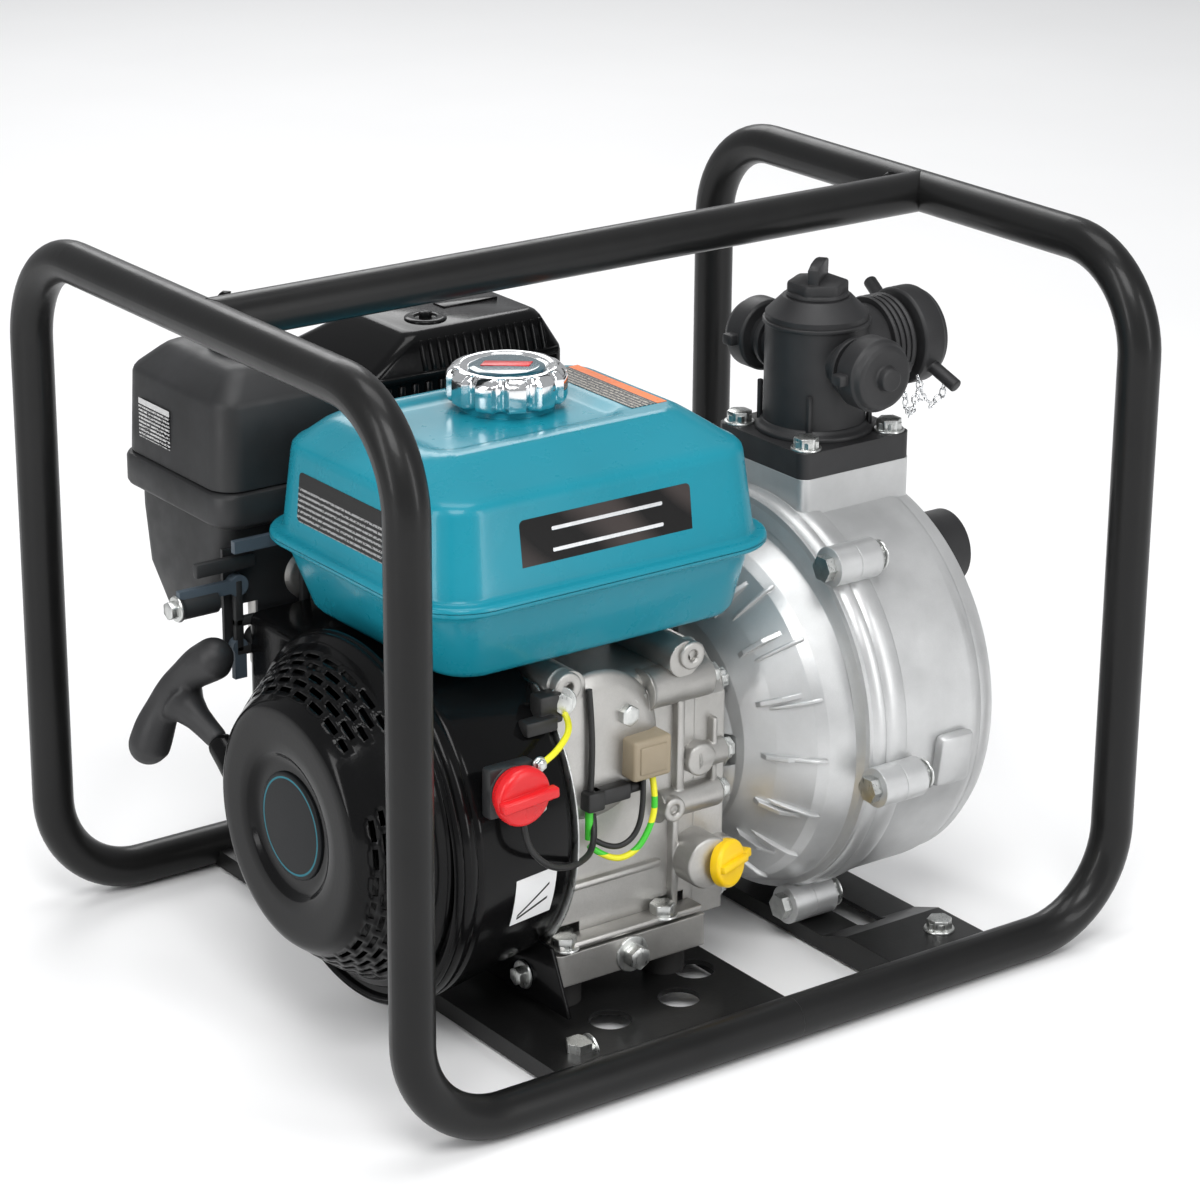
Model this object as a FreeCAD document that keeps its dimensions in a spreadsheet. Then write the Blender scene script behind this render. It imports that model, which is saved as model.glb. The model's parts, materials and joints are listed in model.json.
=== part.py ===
import FreeCAD, Part
import Sketcher
import math
import os

# High-lift engine pump on a tube roll frame, millimetres.
# X runs along the crankshaft towards the pump, Y from the name-plate side to the back, Z up.
# The origin is under the middle of the frame, on the floor.

DRIVING = {
    # roll frame
    "frame_length": 510.0,      # between the centrelines of the two end hoops
    "frame_width": 404.0,       # between the centrelines of the two floor rails
    "frame_height": 440.0,      # floor to the top of the hoops
    "tube_dia": 25.4,
    "tube_wall": 1.8,
    "tube_bend": 60.0,          # centreline radius of every bend
    "seam_x": 7.0,              # where the two half loops meet on the rails
    "bar_y": -4.0,
    # floor pressings
    "sheet_thick": 3.0,
    "tray_left": -145.0,
    "tray_right": 20.0,
    "tray_top": 13.4,
    "skirt_foot": 2.0,          # lowest edge of the pressed skirts
    "beam_left": 92.0,
    "beam_right": 165.0,
    "beam_tab_top": 20.0,
    "beam_floor_top": 12.0,
    "beam_tab_len": 45.0,
    "beam_slope_len": 22.0,
    "slot_width": 18.0,
    "slot_length": 62.0,
    "big_hole_dia": 25.0,
    # engine seat
    "engine_bolt_mid": -51.6,
    "engine_bolt_x": 75.5,      # spacing along the crankshaft
    "engine_bolt_y": 162.0,     # spacing across
    "bolt_row_y": -106.0,
    "mount_dia": 25.0,
    "mount_gap": 17.4,          # tray to engine base
    "bolt_dia": 8.0,
    "bolt_hole_dia": 8.6,
    "head_flats": 14.0,
    "head_height": 5.5,
    # engine block
    "crank_y": -44.0,
    "crank_rise": 106.0,        # crank axis above the engine base
    "base_height": 20.0,
    "block_left": -104.0,
    "block_right": 2.0,
    "block_front": -112.0,
    "block_back": 52.0,
    "block_top": 207.0,
    "cover_thick": 22.0,
    "bearing_wall": 18.0,
    "bearing_radius": 26.0,
    "bearing_width": 14.0,
    "case_wall": 8.0,
    "chamber_radius": 60.0,
    "boss_radius": 11.0,
    "cylinder_tilt": 25.0,      # above the horizontal, in degrees
    "cylinder_x": -49.0,
    "bore_dia": 68.0,
    "stroke": 54.0,
    "rod_length": 84.0,
    "crown_height": 22.0,
    "piston_height": 40.0,
    "crown_thick": 8.0,
    "barrel_radius": 44.0,
    "fin_side": 56.0,
    "fin_thick": 2.5,
    "fin_pitch": 8.0,
    "head_length": 50.0,
    "rocker_length": 36.0,
    # rotating parts
    "journal_dia": 25.0,
    "web_radius": 40.0,
    "web_thick": 12.0,
    "rod_thick": 20.0,
    "pin_dia": 30.0,
    "wrist_dia": 18.0,
    "run_gap": 0.05,            # radial clearance of a running fit
    "side_gap": 0.6,
    "gear_radius": 20.0,
    "gear_width": 9.0,
    "fan_radius": 82.0,
    "fan_disc_x": -150.0,
    "fan_disc_thick": 22.0,
    "blade_depth": 22.0,
    "blade_thick": 3.0,
    # blower housing and recoil starter
    "shroud_front": -190.0,
    "shroud_back": -107.0,
    "shroud_z": 131.0,
    "shroud_front_r": 111.0,
    "shroud_back_r": 103.0,
    "shroud_top": 223.0,
    "duct_back": 72.0,
    "duct_floor": 76.0,
    "press_wall": 2.0,
    "recoil_face": -236.0,
    "recoil_face_r": 71.0,
    "recoil_rim_r": 108.0,
    "reel_x": -224.0,
    "reel_groove_r": 29.0,
    "reel_flange_r": 44.0,
    "rope_dia": 4.0,
    "rope_rise": 30.0,          # pull direction above the horizontal, in degrees
    "guide_reach": 86.0,        # rope guide, measured along the rope from the reel
    "grip_length": 108.0,
    "grip_radius": 11.0,
    "handle_travel": 60.0,
    # fuel tank
    "tank_left": -187.0,
    "tank_right": 42.0,
    "tank_front": -132.0,
    "tank_back": 54.0,
    "tank_floor": 231.0,
    "tank_lip_z": 280.0,
    "tank_shoulder_z": 337.0,
    "tank_top": 350.0,
    "tank_lip": 8.0,
    "tank_wall": 1.4,
    "tank_corner": 30.0,
    "fuel_cap_x": -60.0,
    "fuel_cap_y": -10.0,
    "fuel_cap_r": 36.0,
    "filler_radius": 24.0,
    # air cleaner
    "filter_left": -206.0,
    "filter_right": -108.0,
    "filter_front": 68.0,
    "filter_back": 186.0,
    "filter_belt_z": 279.0,
    "filter_split_z": 297.0,
    "filter_top": 366.0,
    "filter_wall": 2.5,
    # muffler
    "guard_left": -98.0,
    "guard_right": 46.0,
    "guard_front": 80.0,
    "guard_back": 184.0,
    "guard_floor": 284.0,
    "guard_top": 366.0,
    "muffler_radius": 32.0,
    "muffler_length": 94.0,
    # pump
    "bracket_root_r": 50.0,
    "bracket_step": 18.0,       # dome inside the drum, on the radius
    "bracket_dome_x": 72.0,
    "bracket_rise": 4.0,        # dome centre above the crank axis
    "joint_x": 100.0,
    "joint_flange": 12.0,
    "casing_radius": 126.0,
    "casing_end_x": 188.0,
    "casing_rise": 12.0,        # drum centre above the crank axis
    "lug_reach": 10.0,          # bolt lugs outside the drum
    "casing_wall": 5.0,
    "neck_side": 84.0,
    "neck_top": 290.0,
    "neck_x": 142.0,
    "impeller_radius": 62.0,
    "impeller_x": 112.0,
    "impeller_width": 16.0,
    "eye_radius": 22.0,
    "suction_rise": 70.0,       # suction port above the crank axis
    "suction_flange_r": 42.0,
    "suction_flange_thick": 12.0,
    "suction_end_x": 252.0,
    "suction_thread_r": 24.0,
    "suction_bore_r": 19.0,
    # discharge manifold
    "manifold_plate": 16.0,
    "manifold_bolts": 64.0,
    "manifold_radius": 31.0,
    "manifold_shoulder_z": 378.0,
    "outlet_z": 352.0,
    "side_cap_r": 22.5,
    "side_cap_reach": 66.0,     # manifold axis to the outer face of a side cap
    "main_cap_r": 30.0,
    "main_cap_x": 225.0,
    "cap_depth": 22.0,
    "wire_dia": 3.0,
}


class Size:
    """A length that keeps both its number and the sheet expression behind it."""

    def __init__(self, text, value):
        self.text = text
        self.value = value

    def joined(self, sign, other, value, swap=False):
        first, second = (as_text(other), self.text) if swap else (self.text, as_text(other))
        return Size("(%s %s %s)" % (first, sign, second), value)

    def __add__(self, other):
        return self.joined("+", other, self.value + number(other))

    def __radd__(self, other):
        return self.joined("+", other, self.value + number(other), True)

    def __sub__(self, other):
        return self.joined("-", other, self.value - number(other))

    def __rsub__(self, other):
        return self.joined("-", other, number(other) - self.value, True)

    def __mul__(self, other):
        return self.joined("*", other, self.value * number(other))

    def __rmul__(self, other):
        return self.joined("*", other, self.value * number(other), True)

    def __truediv__(self, other):
        return self.joined("/", other, self.value / number(other))

    def __neg__(self):
        return Size("(0 - %s)" % self.text, -self.value)


def number(amount):
    return amount.value if isinstance(amount, Size) else float(amount)


def as_text(amount):
    return amount.text if isinstance(amount, Size) else repr(float(amount))


def vector(point):
    return FreeCAD.Vector(*[number(value) for value in point])


class Sheet:
    """The driving dimensions, one alias per cell."""

    def __init__(self, document, table):
        self.values = table
        cells = document.addObject("Spreadsheet::Sheet", "Sizes")
        for row, alias in enumerate(table, 1):
            cells.set("A%d" % row, alias)
            cells.set("B%d" % row, str(table[alias]))
            cells.setAlias("B%d" % row, alias)

    def __getattr__(self, alias):
        return Size("Sizes.%s" % alias, self.values[alias])


doc = FreeCAD.newDocument("HighLiftPump")
S = Sheet(doc, DRIVING)
doc.recompute()
NODES = []

# Local Z turned to each axis of the part; local X and Y follow in cyclic order.
ALONG = {
    "z": FreeCAD.Rotation(),
    "x": FreeCAD.Rotation(FreeCAD.Vector(1, 1, 1), 120),
    "y": FreeCAD.Rotation(FreeCAD.Vector(1, 1, 1), 240),
}


# ---------------------------------------------------------------- building blocks
def bind(thing, path, amount):
    """Ties one property to the sheet, or sets it when it is a plain number."""
    if isinstance(amount, Size):
        thing.setExpression(path, amount.text)
    elif path.startswith("Placement.Base."):
        base = thing.Placement.Base
        setattr(base, path[-1], float(amount))
        thing.Placement = FreeCAD.Placement(base, thing.Placement.Rotation)
    else:
        setattr(thing, path, float(amount))


def place(thing, axis, start):
    thing.Placement = FreeCAD.Placement(vector(start), ALONG[axis])
    for letter, amount in zip("xyz", start):
        if isinstance(amount, Size):
            bind(thing, "Placement.Base.%s" % letter, amount)
    return thing


def block(left, right, front, back, low, high):
    thing = doc.addObject("Part::Box", "Block")
    bind(thing, "Length", right - left)
    bind(thing, "Width", back - front)
    bind(thing, "Height", high - low)
    return place(thing, "z", (left, front, low))


def rod(axis, start, radius, length):
    thing = doc.addObject("Part::Cylinder", "Rod")
    bind(thing, "Radius", radius)
    bind(thing, "Height", length)
    return place(thing, axis, start)


def taper(axis, start, first, last, length):
    thing = doc.addObject("Part::Cone", "Taper")
    bind(thing, "Radius1", first)
    bind(thing, "Radius2", last)
    bind(thing, "Height", length)
    return place(thing, axis, start)


def hexagon(axis, start, flats, height):
    thing = doc.addObject("Part::Prism", "Hexagon")
    thing.Polygon = 6
    bind(thing, "Circumradius", flats / math.sqrt(3))
    bind(thing, "Height", height)
    return place(thing, axis, start)


def fuse(*things):
    if len(things) == 1:
        return things[0]
    joined = doc.addObject("Part::MultiFuse", "Fuse")
    joined.Shapes = list(things)
    return joined


def cut(base, *tools):
    left = doc.addObject("Part::Cut", "Cut")
    left.Base = base
    left.Tool = fuse(*tools)
    return left


def common(first, second):
    shared = doc.addObject("Part::Common", "Common")
    shared.Base = first
    shared.Tool = second
    return shared


def group(*things):
    """Separate solids that share one node."""
    together = doc.addObject("Part::Compound", "Group")
    together.Links = list(things)
    return together


def rounded(thing, radius, wanted):
    """Rounds the edges that the test picks."""
    doc.recompute()
    softer = doc.addObject("Part::Fillet", "Rounded")
    softer.Base = thing
    picked = [i for i, edge in enumerate(thing.Shape.Edges, 1) if wanted(edge)]
    softer.Edges = [(i, number(radius), number(radius)) for i in picked]
    return softer


def upright(edge):
    box = edge.BoundBox
    return box.XLength < 0.01 and box.YLength < 0.01


def drawn(outline):
    """A closed sketch whose corners are tied to the sheet."""
    sketch = doc.addObject("Sketcher::SketchObject", "Outline")
    count = len(outline)
    flat = [(number(u), number(v)) for u, v in outline]
    for i in range(count):
        start = FreeCAD.Vector(flat[i][0], flat[i][1], 0)
        end = FreeCAD.Vector(flat[(i + 1) % count][0], flat[(i + 1) % count][1], 0)
        sketch.addGeometry(Part.LineSegment(start, end), False)
    for i in range(count):
        sketch.addConstraint(Sketcher.Constraint("Coincident", i, 2, (i + 1) % count, 1))
    for i, corner in enumerate(outline):
        for kind, amount in zip(("DistanceX", "DistanceY"), corner):
            tie = sketch.addConstraint(Sketcher.Constraint(kind, -1, 1, i, 1, number(amount)))
            if isinstance(amount, Size):
                sketch.setExpression("Constraints[%d]" % tie, amount.text)
    return sketch


def slab(axis, start, outline, thick):
    """An outline pushed along an axis; its two coordinates follow the axis in cyclic order."""
    thing = doc.addObject("Part::Extrusion", "Slab")
    thing.Base = drawn(outline)
    thing.DirMode = "Custom"
    thing.Dir = FreeCAD.Vector(0, 0, 1)
    thing.Solid = True
    bind(thing, "LengthFwd", thick)
    origin = [0, 0, 0]
    origin["xyz".index(axis)] = start
    return place(thing, axis, origin)


def turned(axis, start, outline):
    """An outline of (along, radius) corners turned about an axis."""
    thing = doc.addObject("Part::Revolution", "Turned")
    thing.Source = drawn([(radius, along) for along, radius in outline])
    thing.Axis = FreeCAD.Vector(0, 0, 1)
    thing.Angle = 360
    thing.Solid = True
    sketch = thing.Source
    sketch.Placement = FreeCAD.Placement(FreeCAD.Vector(), FreeCAD.Rotation(FreeCAD.Vector(1, 0, 0), 90))
    return place(thing, axis, start)


def shaped(shape):
    thing = doc.addObject("Part::Feature", "Shaped")
    thing.Shape = shape
    return thing


def rounded_frame(level, inset=0.0):
    """A rounded rectangle at one height: (z, left, right, front, back, corner)."""
    z, left, right, front, back, corner = [number(value) for value in level]
    corner = max(corner - inset, 1.0)
    left, right, front, back = left + inset, right - inset, front + inset, back - inset
    edges = []
    hubs = [(right - corner, back - corner, 0), (left + corner, back - corner, 90),
            (left + corner, front + corner, 180), (right - corner, front + corner, 270)]
    ends = []
    for hub_x, hub_y, angle in hubs:
        hub = FreeCAD.Vector(hub_x, hub_y, z)
        spokes = [math.radians(angle + turn) for turn in (0, 45, 90)]
        ends.append([hub + FreeCAD.Vector(corner * math.cos(a), corner * math.sin(a), 0) for a in spokes])
    for i in range(4):
        edges.append(Part.Arc(*ends[i]).toShape())
        edges.append(Part.LineSegment(ends[i][2], ends[(i + 1) % 4][0]).toShape())
    return Part.Wire(edges)


def pressed(levels, wall=0.0, floor=0.0, roof=0.0):
    """A ruled loft through rounded rectangles, with the heights of its ends moved in for a wall."""
    inner = [list(level) for level in levels]
    inner[0][0] = number(levels[0][0]) + floor
    inner[-1][0] = number(levels[-1][0]) - roof
    return Part.makeLoft([rounded_frame(level, wall) for level in inner], True, True)


def path(points, bend):
    """Straight runs joined by tangent arcs; returns the wire and its first direction."""
    points = [vector(point) for point in points]
    edges = []
    last = points[0]
    for i in range(1, len(points) - 1):
        back = (points[i - 1] - points[i]).normalize()
        ahead = (points[i + 1] - points[i]).normalize()
        half = math.pi / 2 - back.getAngle(ahead) / 2
        radius = bend
        if bend is None:
            shorter = min((points[i - 1] - points[i]).Length, (points[i + 1] - points[i]).Length)
            radius = 0.45 * shorter / math.tan(half)
        reach = radius * math.tan(half)
        start = points[i] + back * reach
        end = points[i] + ahead * reach
        middle = points[i] + (back + ahead).normalize() * (radius / math.cos(half) - radius)
        edges.append(Part.LineSegment(last, start).toShape())
        edges.append(Part.Arc(start, middle, end).toShape())
        last = end
    edges.append(Part.LineSegment(last, points[-1]).toShape())
    return Part.Wire(edges), (points[1] - points[0]).normalize()


def swept(points, radius, bend=None):
    wire, direction = path(points, bend)
    ring = Part.Wire(Part.Circle(vector(points[0]), direction, radius).toShape())
    return wire.makePipeShell([ring], True, True)


def node(name, thing):
    """Names a finished sub-part; the label is also the name of its file."""
    thing.Label = name
    NODES.append(thing)
    return thing


# ---------------------------------------------------------------- places that several pieces share
tube_r = S.tube_dia / 2
half_length = S.frame_length / 2
half_width = S.frame_width / 2
tube_top_z = S.frame_height - tube_r
base_z = S.tray_top + S.mount_gap
crank_z = base_z + S.crank_rise
crank_y = S.crank_y
bolt_spots = [(S.engine_bolt_mid + i * S.engine_bolt_x / 2, S.bolt_row_y + j * S.engine_bolt_y)
              for i in (-1, 1) for j in (0, 1)]
cover_end = S.block_right + S.cover_thick
casing_z = crank_z + S.casing_rise
suction_z = crank_z + S.suction_rise
manifold_low = S.neck_top
manifold_y = crank_y
tray_bolts = [(S.tray_left + 27, side * (half_width - 37)) for side in (-1, 1)]
beam_bolts = [(S.beam_right - 20, side * (half_width - 30)) for side in (-1, 1)]
rope_dir = FreeCAD.Vector(0, math.cos(math.radians(S.rope_rise.value)),
                          math.sin(math.radians(S.rope_rise.value)))
rope_side = FreeCAD.Vector(0, rope_dir.z, -rope_dir.y)
reel_middle = FreeCAD.Vector(S.reel_x.value, crank_y.value, crank_z.value)
rope_touch = reel_middle + rope_side * (S.reel_groove_r.value + S.rope_dia.value / 2)
guide_spot = rope_touch + rope_dir * S.guide_reach.value


def bolt(axis, start, length, flats=S.head_flats, height=S.head_height, shank=S.bolt_dia / 2):
    """A hexagon bolt: the shank runs from the start along the axis, the head sits at its end."""
    tip = list(start)
    tip["xyz".index(axis)] = start["xyz".index(axis)] + length
    return fuse(rod(axis, start, shank, length), hexagon(axis, tip, flats, height))


def on_cylinder_axis(thing):
    """Moves a piece drawn with the cylinder axis along Z and the crank at the origin into place."""
    turn = FreeCAD.Rotation(FreeCAD.Vector(-1, 0, 0), 90 - S.cylinder_tilt.value)
    thing.Placement = FreeCAD.Placement(vector((S.cylinder_x, crank_y, crank_z)), turn)
    thing.setExpression("Placement.Rotation.Angle", "90 - Sizes.cylinder_tilt")
    thing.setExpression("Placement.Base.x", S.cylinder_x.text)
    thing.setExpression("Placement.Base.y", crank_y.text)
    thing.setExpression("Placement.Base.z", crank_z.text)
    return thing


# ---------------------------------------------------------------- roll frame
def half_loop(side):
    """One end hoop with its halves of the two floor rails, a bent tube."""
    end_x = half_length * side
    corners = [(S.seam_x, -half_width, tube_r), (end_x, -half_width, tube_r),
               (end_x, -half_width, tube_top_z), (end_x, half_width, tube_top_z),
               (end_x, half_width, tube_r), (S.seam_x, half_width, tube_r)]
    outer = swept(corners, tube_r.value, S.tube_bend.value)
    return shaped(outer.cut(swept(corners, tube_r.value - S.tube_wall.value, S.tube_bend.value)))


def rails():
    return [rod("x", (-half_length, side * half_width, tube_r), tube_r, S.frame_length) for side in (-1, 1)]


def make_frame():
    node("hoop_recoil_end", half_loop(-1))
    node("hoop_pump_end", half_loop(1))
    bar = cut(rod("x", (-half_length, S.bar_y, tube_top_z), tube_r, S.frame_length),
              rod("x", (-half_length, S.bar_y, tube_top_z), tube_r - S.tube_wall, S.frame_length),
              *[rod("y", (side * half_length, -half_width, tube_top_z), tube_r, S.frame_width)
                for side in (-1, 1)])
    node("top_bar", bar)


def make_tray():
    """Pressed plate between the rails that carries the engine, with a skirt down each end."""
    low = S.tray_top - S.sheet_thick
    plate = block(S.tray_left, S.tray_right, -half_width, half_width, low, S.tray_top)
    skirts = [block(x, x + S.sheet_thick, -half_width, half_width, S.skirt_foot, S.tray_top)
              for x in (S.tray_left, S.tray_right - S.sheet_thick)]
    holes = [rod("z", (x, y, low - 1), S.bolt_hole_dia / 2, S.sheet_thick + 2) for x, y in bolt_spots]
    windows = [rod("z", (S.engine_bolt_mid + dx, dy, low - 1), S.big_hole_dia / 2, S.sheet_thick + 2)
               for dx, dy in ((-30, -145), (20, -145), (50, -120), (-60, 30), (0, 20), (0, 120))]
    holes += [rod("z", (x, y, low - 1), S.bolt_hole_dia / 2, S.sheet_thick + 2) for x, y in tray_bolts]
    node("engine_tray", cut(fuse(plate, *skirts), *(rails() + holes + windows)))


def make_beam():
    """Pressed cross beam under the pump: raised end tabs, sloping down to a slotted floor."""
    edge = half_width - tube_r + 4
    tab = edge - S.beam_tab_len
    floor_end = tab - S.beam_slope_len
    tops = [(-edge, S.beam_tab_top), (-tab, S.beam_tab_top), (-floor_end, S.beam_floor_top),
            (floor_end, S.beam_floor_top), (tab, S.beam_tab_top), (edge, S.beam_tab_top)]
    lows = [(y, z - S.sheet_thick) for y, z in reversed(tops)]
    plate = slab("x", S.beam_left, tops + lows, S.beam_right - S.beam_left)
    skirt = [(edge, S.skirt_foot), (-edge, S.skirt_foot)]
    skirts = [slab("x", x, tops + skirt, S.sheet_thick) for x in (S.beam_left, S.beam_right - S.sheet_thick)]
    middle = (S.beam_left + S.beam_right) / 2
    slots = [block(middle - S.slot_width / 2, middle + S.slot_width / 2, crank_y + dy,
                   crank_y + dy + S.slot_length, S.beam_floor_top - 6, S.beam_floor_top + 2)
             for dy in (-88, 40)]
    holes = [rod("z", (x, y, S.beam_tab_top - 6), S.bolt_hole_dia / 2, 8) for x, y in beam_bolts]
    foot_hole = rod("z", (S.neck_x, crank_y, S.beam_floor_top - 6), S.bolt_hole_dia / 2, 8)
    node("pump_crossmember", cut(fuse(plate, *skirts), *(rails() + slots + holes + [foot_hole])))


def make_mounts():
    rubbers = []
    for x, y in bolt_spots:
        rubbers.append(cut(rod("z", (x, y, S.tray_top), S.mount_dia / 2, S.mount_gap),
                           rod("z", (x, y, S.tray_top - 1), S.bolt_hole_dia / 2, S.mount_gap + 2)))
    pump_seat = casing_z - S.casing_radius - 3
    rubbers.append(rod("z", (S.neck_x, crank_y, S.beam_floor_top), S.mount_dia / 2,
                       pump_seat - S.beam_floor_top))
    node("rubber_mounts", group(*rubbers))
    bolts = [bolt("z", (x, y, S.beam_tab_top - 12), 12) for x, y in beam_bolts]
    bolts += [bolt("z", (x, y, S.tray_top - 10), 10) for x, y in tray_bolts]
    for x, y in bolt_spots:
        shank = rod("z", (x, y, S.skirt_foot + 2), S.bolt_dia / 2, base_z + S.base_height - S.skirt_foot - 2)
        head = hexagon("z", (x, y, base_z + S.base_height), S.head_flats, S.head_height)
        bolts.append(fuse(shank, head))
    node("frame_bolts", group(*bolts))


# ---------------------------------------------------------------- engine block
deck = S.stroke / 2 + S.rod_length + S.crown_height
cam_y = crank_y + S.gear_radius * 3 * math.cos(math.radians(50))
cam_z = crank_z - S.gear_radius * 3 * math.sin(math.radians(50))
bearing_in = S.block_left + 2
bearing_out = S.block_right + 4


def make_block():
    """One casting: base flange, crank chamber and finned cylinder barrel."""
    body = block(S.block_left, S.block_right, S.block_front, S.block_back, base_z + 10, S.block_top)
    body = rounded(body, 16, lambda edge: edge.BoundBox.XLength > 90 and edge.BoundBox.ZMax > 150)
    foot = block(S.block_left - 2, S.block_right + 4, crank_y - 81, crank_y + 110, base_z,
                 base_z + S.base_height)
    foot = rounded(foot, 6, upright)
    bosses = [rod("y", (x, S.block_front - 6, S.block_top + 5), S.boss_radius, 60)
              for x in (S.block_left + 12, S.block_right - 12)]
    barrel = rod("z", (0, 0, 30), S.barrel_radius, deck - 30)
    fins = [block(-S.fin_side, S.fin_side, -S.fin_side, S.fin_side, 66 + i * S.fin_pitch,
                  66 + i * S.fin_pitch + S.fin_thick) for i in range(8)]
    barrel = on_cylinder_axis(fuse(barrel, *fins))
    bore = on_cylinder_axis(rod("z", (0, 0, 0), S.bore_dia / 2, deck + 1))
    chamber = rod("x", (S.block_left + S.bearing_wall, crank_y, crank_z), S.chamber_radius,
                  S.block_right - S.block_left)
    cam_room = rod("x", (S.block_right - 30, cam_y, cam_z), S.gear_radius * 2 + 4, 40)
    lobe_room = rod("x", (S.block_left + S.bearing_wall, cam_y, cam_z), 18, 110)
    bearing = rod("x", (bearing_in, crank_y, crank_z), S.bearing_radius, S.bearing_wall + 1)
    shaft = rod("x", (S.block_left - 40, crank_y, crank_z), S.journal_dia / 2 + 1, 60)
    boss_holes = [rod("y", (x, S.block_front - 8, S.block_top + 5), 3.4, 30)
                  for x in (S.block_left + 12, S.block_right - 12)]
    bolt_holes = [rod("z", (x, y, base_z - 1), S.bolt_hole_dia / 2, S.base_height + 12)
                  for x, y in bolt_spots]
    spot_faces = [rod("z", (x, y, base_z + S.base_height), 11, 12) for x, y in bolt_spots]
    drain = rod("y", (S.engine_bolt_mid, crank_y - 83, base_z + 8.5), 5.2, 16)
    side = block(S.block_right, S.block_right + 60, -200, 200, 0, 400)
    tank_room = block(S.tank_left, S.tank_right, S.tank_front, S.tank_back + 2, S.tank_floor - 2, 400)
    whole = fuse(body, foot, barrel, *bosses)
    tools = [bore, chamber, cam_room, lobe_room, bearing, shaft, drain, side, tank_room]
    node("engine_block", cut(whole, *(tools + boss_holes + bolt_holes + spot_faces)))
    plug = fuse(rod("y", (S.engine_bolt_mid, crank_y - 81, base_z + 8.5), 5, 12),
                hexagon("y", (S.engine_bolt_mid, crank_y - 87, base_z + 8.5), 17, 6))
    node("drain_bolt", plug)


def cover_outline(low, high, front, back, cut_back):
    return [(front, low), (back, low), (back, high - cut_back), (back - cut_back, high),
            (front + cut_back, high), (front, high - cut_back)]


cover_bolts_at = [(S.block_front + 12, base_z + 23), (S.block_front + 9, crank_z + 4),
                  (S.block_front + 14, S.block_top - 22), (crank_y, S.block_top - 10),
                  (S.block_back - 12, S.block_top - 30), (S.block_back - 10, base_z + 30)]


def make_case_cover():
    """Side cover on the pump side with the outer main bearing and the oil filler boss."""
    outline = cover_outline(base_z + 14, S.block_top - 2, S.block_front, S.block_back, 22)
    shell = slab("x", S.block_right, outline, S.cover_thick)
    cavity = rod("x", (S.block_right - 1, crank_y, crank_z), S.chamber_radius - 6, S.cover_thick - 15)
    cam_room = rod("x", (S.block_right - 1, cam_y, cam_z), S.gear_radius * 2 + 3, S.cover_thick - 15)
    bearing = rod("x", (bearing_out, crank_y, crank_z), S.bearing_radius, S.bearing_width)
    shaft = rod("x", (S.block_right, crank_y, crank_z), S.journal_dia / 2 + 1, S.cover_thick + 5)
    filler = rod("y", (S.block_right + 16, S.block_front - 8, base_z + 48), 15, 22)
    filler_hole = rod("y", (S.block_right + 16, S.block_front - 9, base_z + 48), 9, 26)
    pads = [rod("x", (S.block_right, y, z), 9, S.cover_thick + 2) for y, z in cover_bolts_at]
    holes = [rod("x", (S.block_right - 1, y, z), 3.2, S.cover_thick + 6) for y, z in cover_bolts_at]
    node("crankcase_cover", cut(fuse(shell, filler, *pads),
                                *([cavity, cam_room, bearing, shaft, filler_hole] + holes)))
    bolts = [fuse(rod("x", (S.block_right + 0.5, y, z), 3, S.cover_thick + 1.5),
                  hexagon("x", (S.block_right + S.cover_thick + 2, y, z), 12, 6)) for y, z in cover_bolts_at]
    node("cover_bolts", group(*bolts))
    rings = [cut(rod("x", (x, crank_y, crank_z), S.bearing_radius, S.bearing_width),
                 rod("x", (x - 1, crank_y, crank_z), S.journal_dia / 2 + S.run_gap, S.bearing_width + 2))
             for x in (bearing_in, bearing_out)]
    node("main_bearings", group(*rings))
    stick = turned("y", (S.block_right + 16, S.block_front - 30, base_z + 48),
                   [(0, 0), (0, 8), (14, 8), (14, 15.5), (22, 15.5), (22, 8.5), (38, 8.5), (38, 0)])
    wing = block(S.block_right + 14, S.block_right + 18, S.block_front - 30, S.block_front - 14,
                 base_z + 34, base_z + 62)
    node("dipstick", fuse(stick, wing))


def make_head():
    """Cylinder head with fins, rocker cover and spark plug, on the cylinder axis."""
    top = deck + S.head_length
    core = block(-40, 40, -42, 42, deck, top)
    fins = [block(-S.fin_side, S.fin_side, -50, 50, deck + 4 + i * S.fin_pitch,
                  deck + 4 + i * S.fin_pitch + S.fin_thick) for i in range(6)]
    plug_hole = rod("x", (20, 0, deck + 22), 7.2, 60)
    node("cylinder_head", on_cylinder_axis(cut(fuse(core, *fins), plug_hole)))
    cover = pressed([(0, -42, 42, -38, 38, 14), (28, -40, 40, -36, 36, 14), (36, -32, 32, -28, 28, 10)])
    hollow = pressed([(-1, -40, 40, -36, 36, 12), (26, -38, 38, -34, 34, 12), (34, -30, 30, -26, 26, 8)])
    lid = shaped(cover.cut(hollow))
    turn = FreeCAD.Rotation(FreeCAD.Vector(-1, 0, 0), 90 - S.cylinder_tilt.value)
    top_spot = vector((S.cylinder_x, crank_y, crank_z)) + turn.multVec(FreeCAD.Vector(0, 0, top.value))
    lid.Placement = FreeCAD.Placement(top_spot, turn)
    node("rocker_cover", lid)
    plug = on_cylinder_axis(fuse(rod("x", (24, 0, deck + 22), 7, 36),
                                 hexagon("x", (56.5, 0, deck + 22), 20, 10),
                                 rod("x", (66, 0, deck + 22), 5, 12)))
    node("spark_plug", plug)
    boot = on_cylinder_axis(cut(rod("x", (67, 0, deck + 22), 11, 26), rod("x", (66, 0, deck + 22), 5.2, 14)))
    node("plug_cap", boot)


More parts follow.
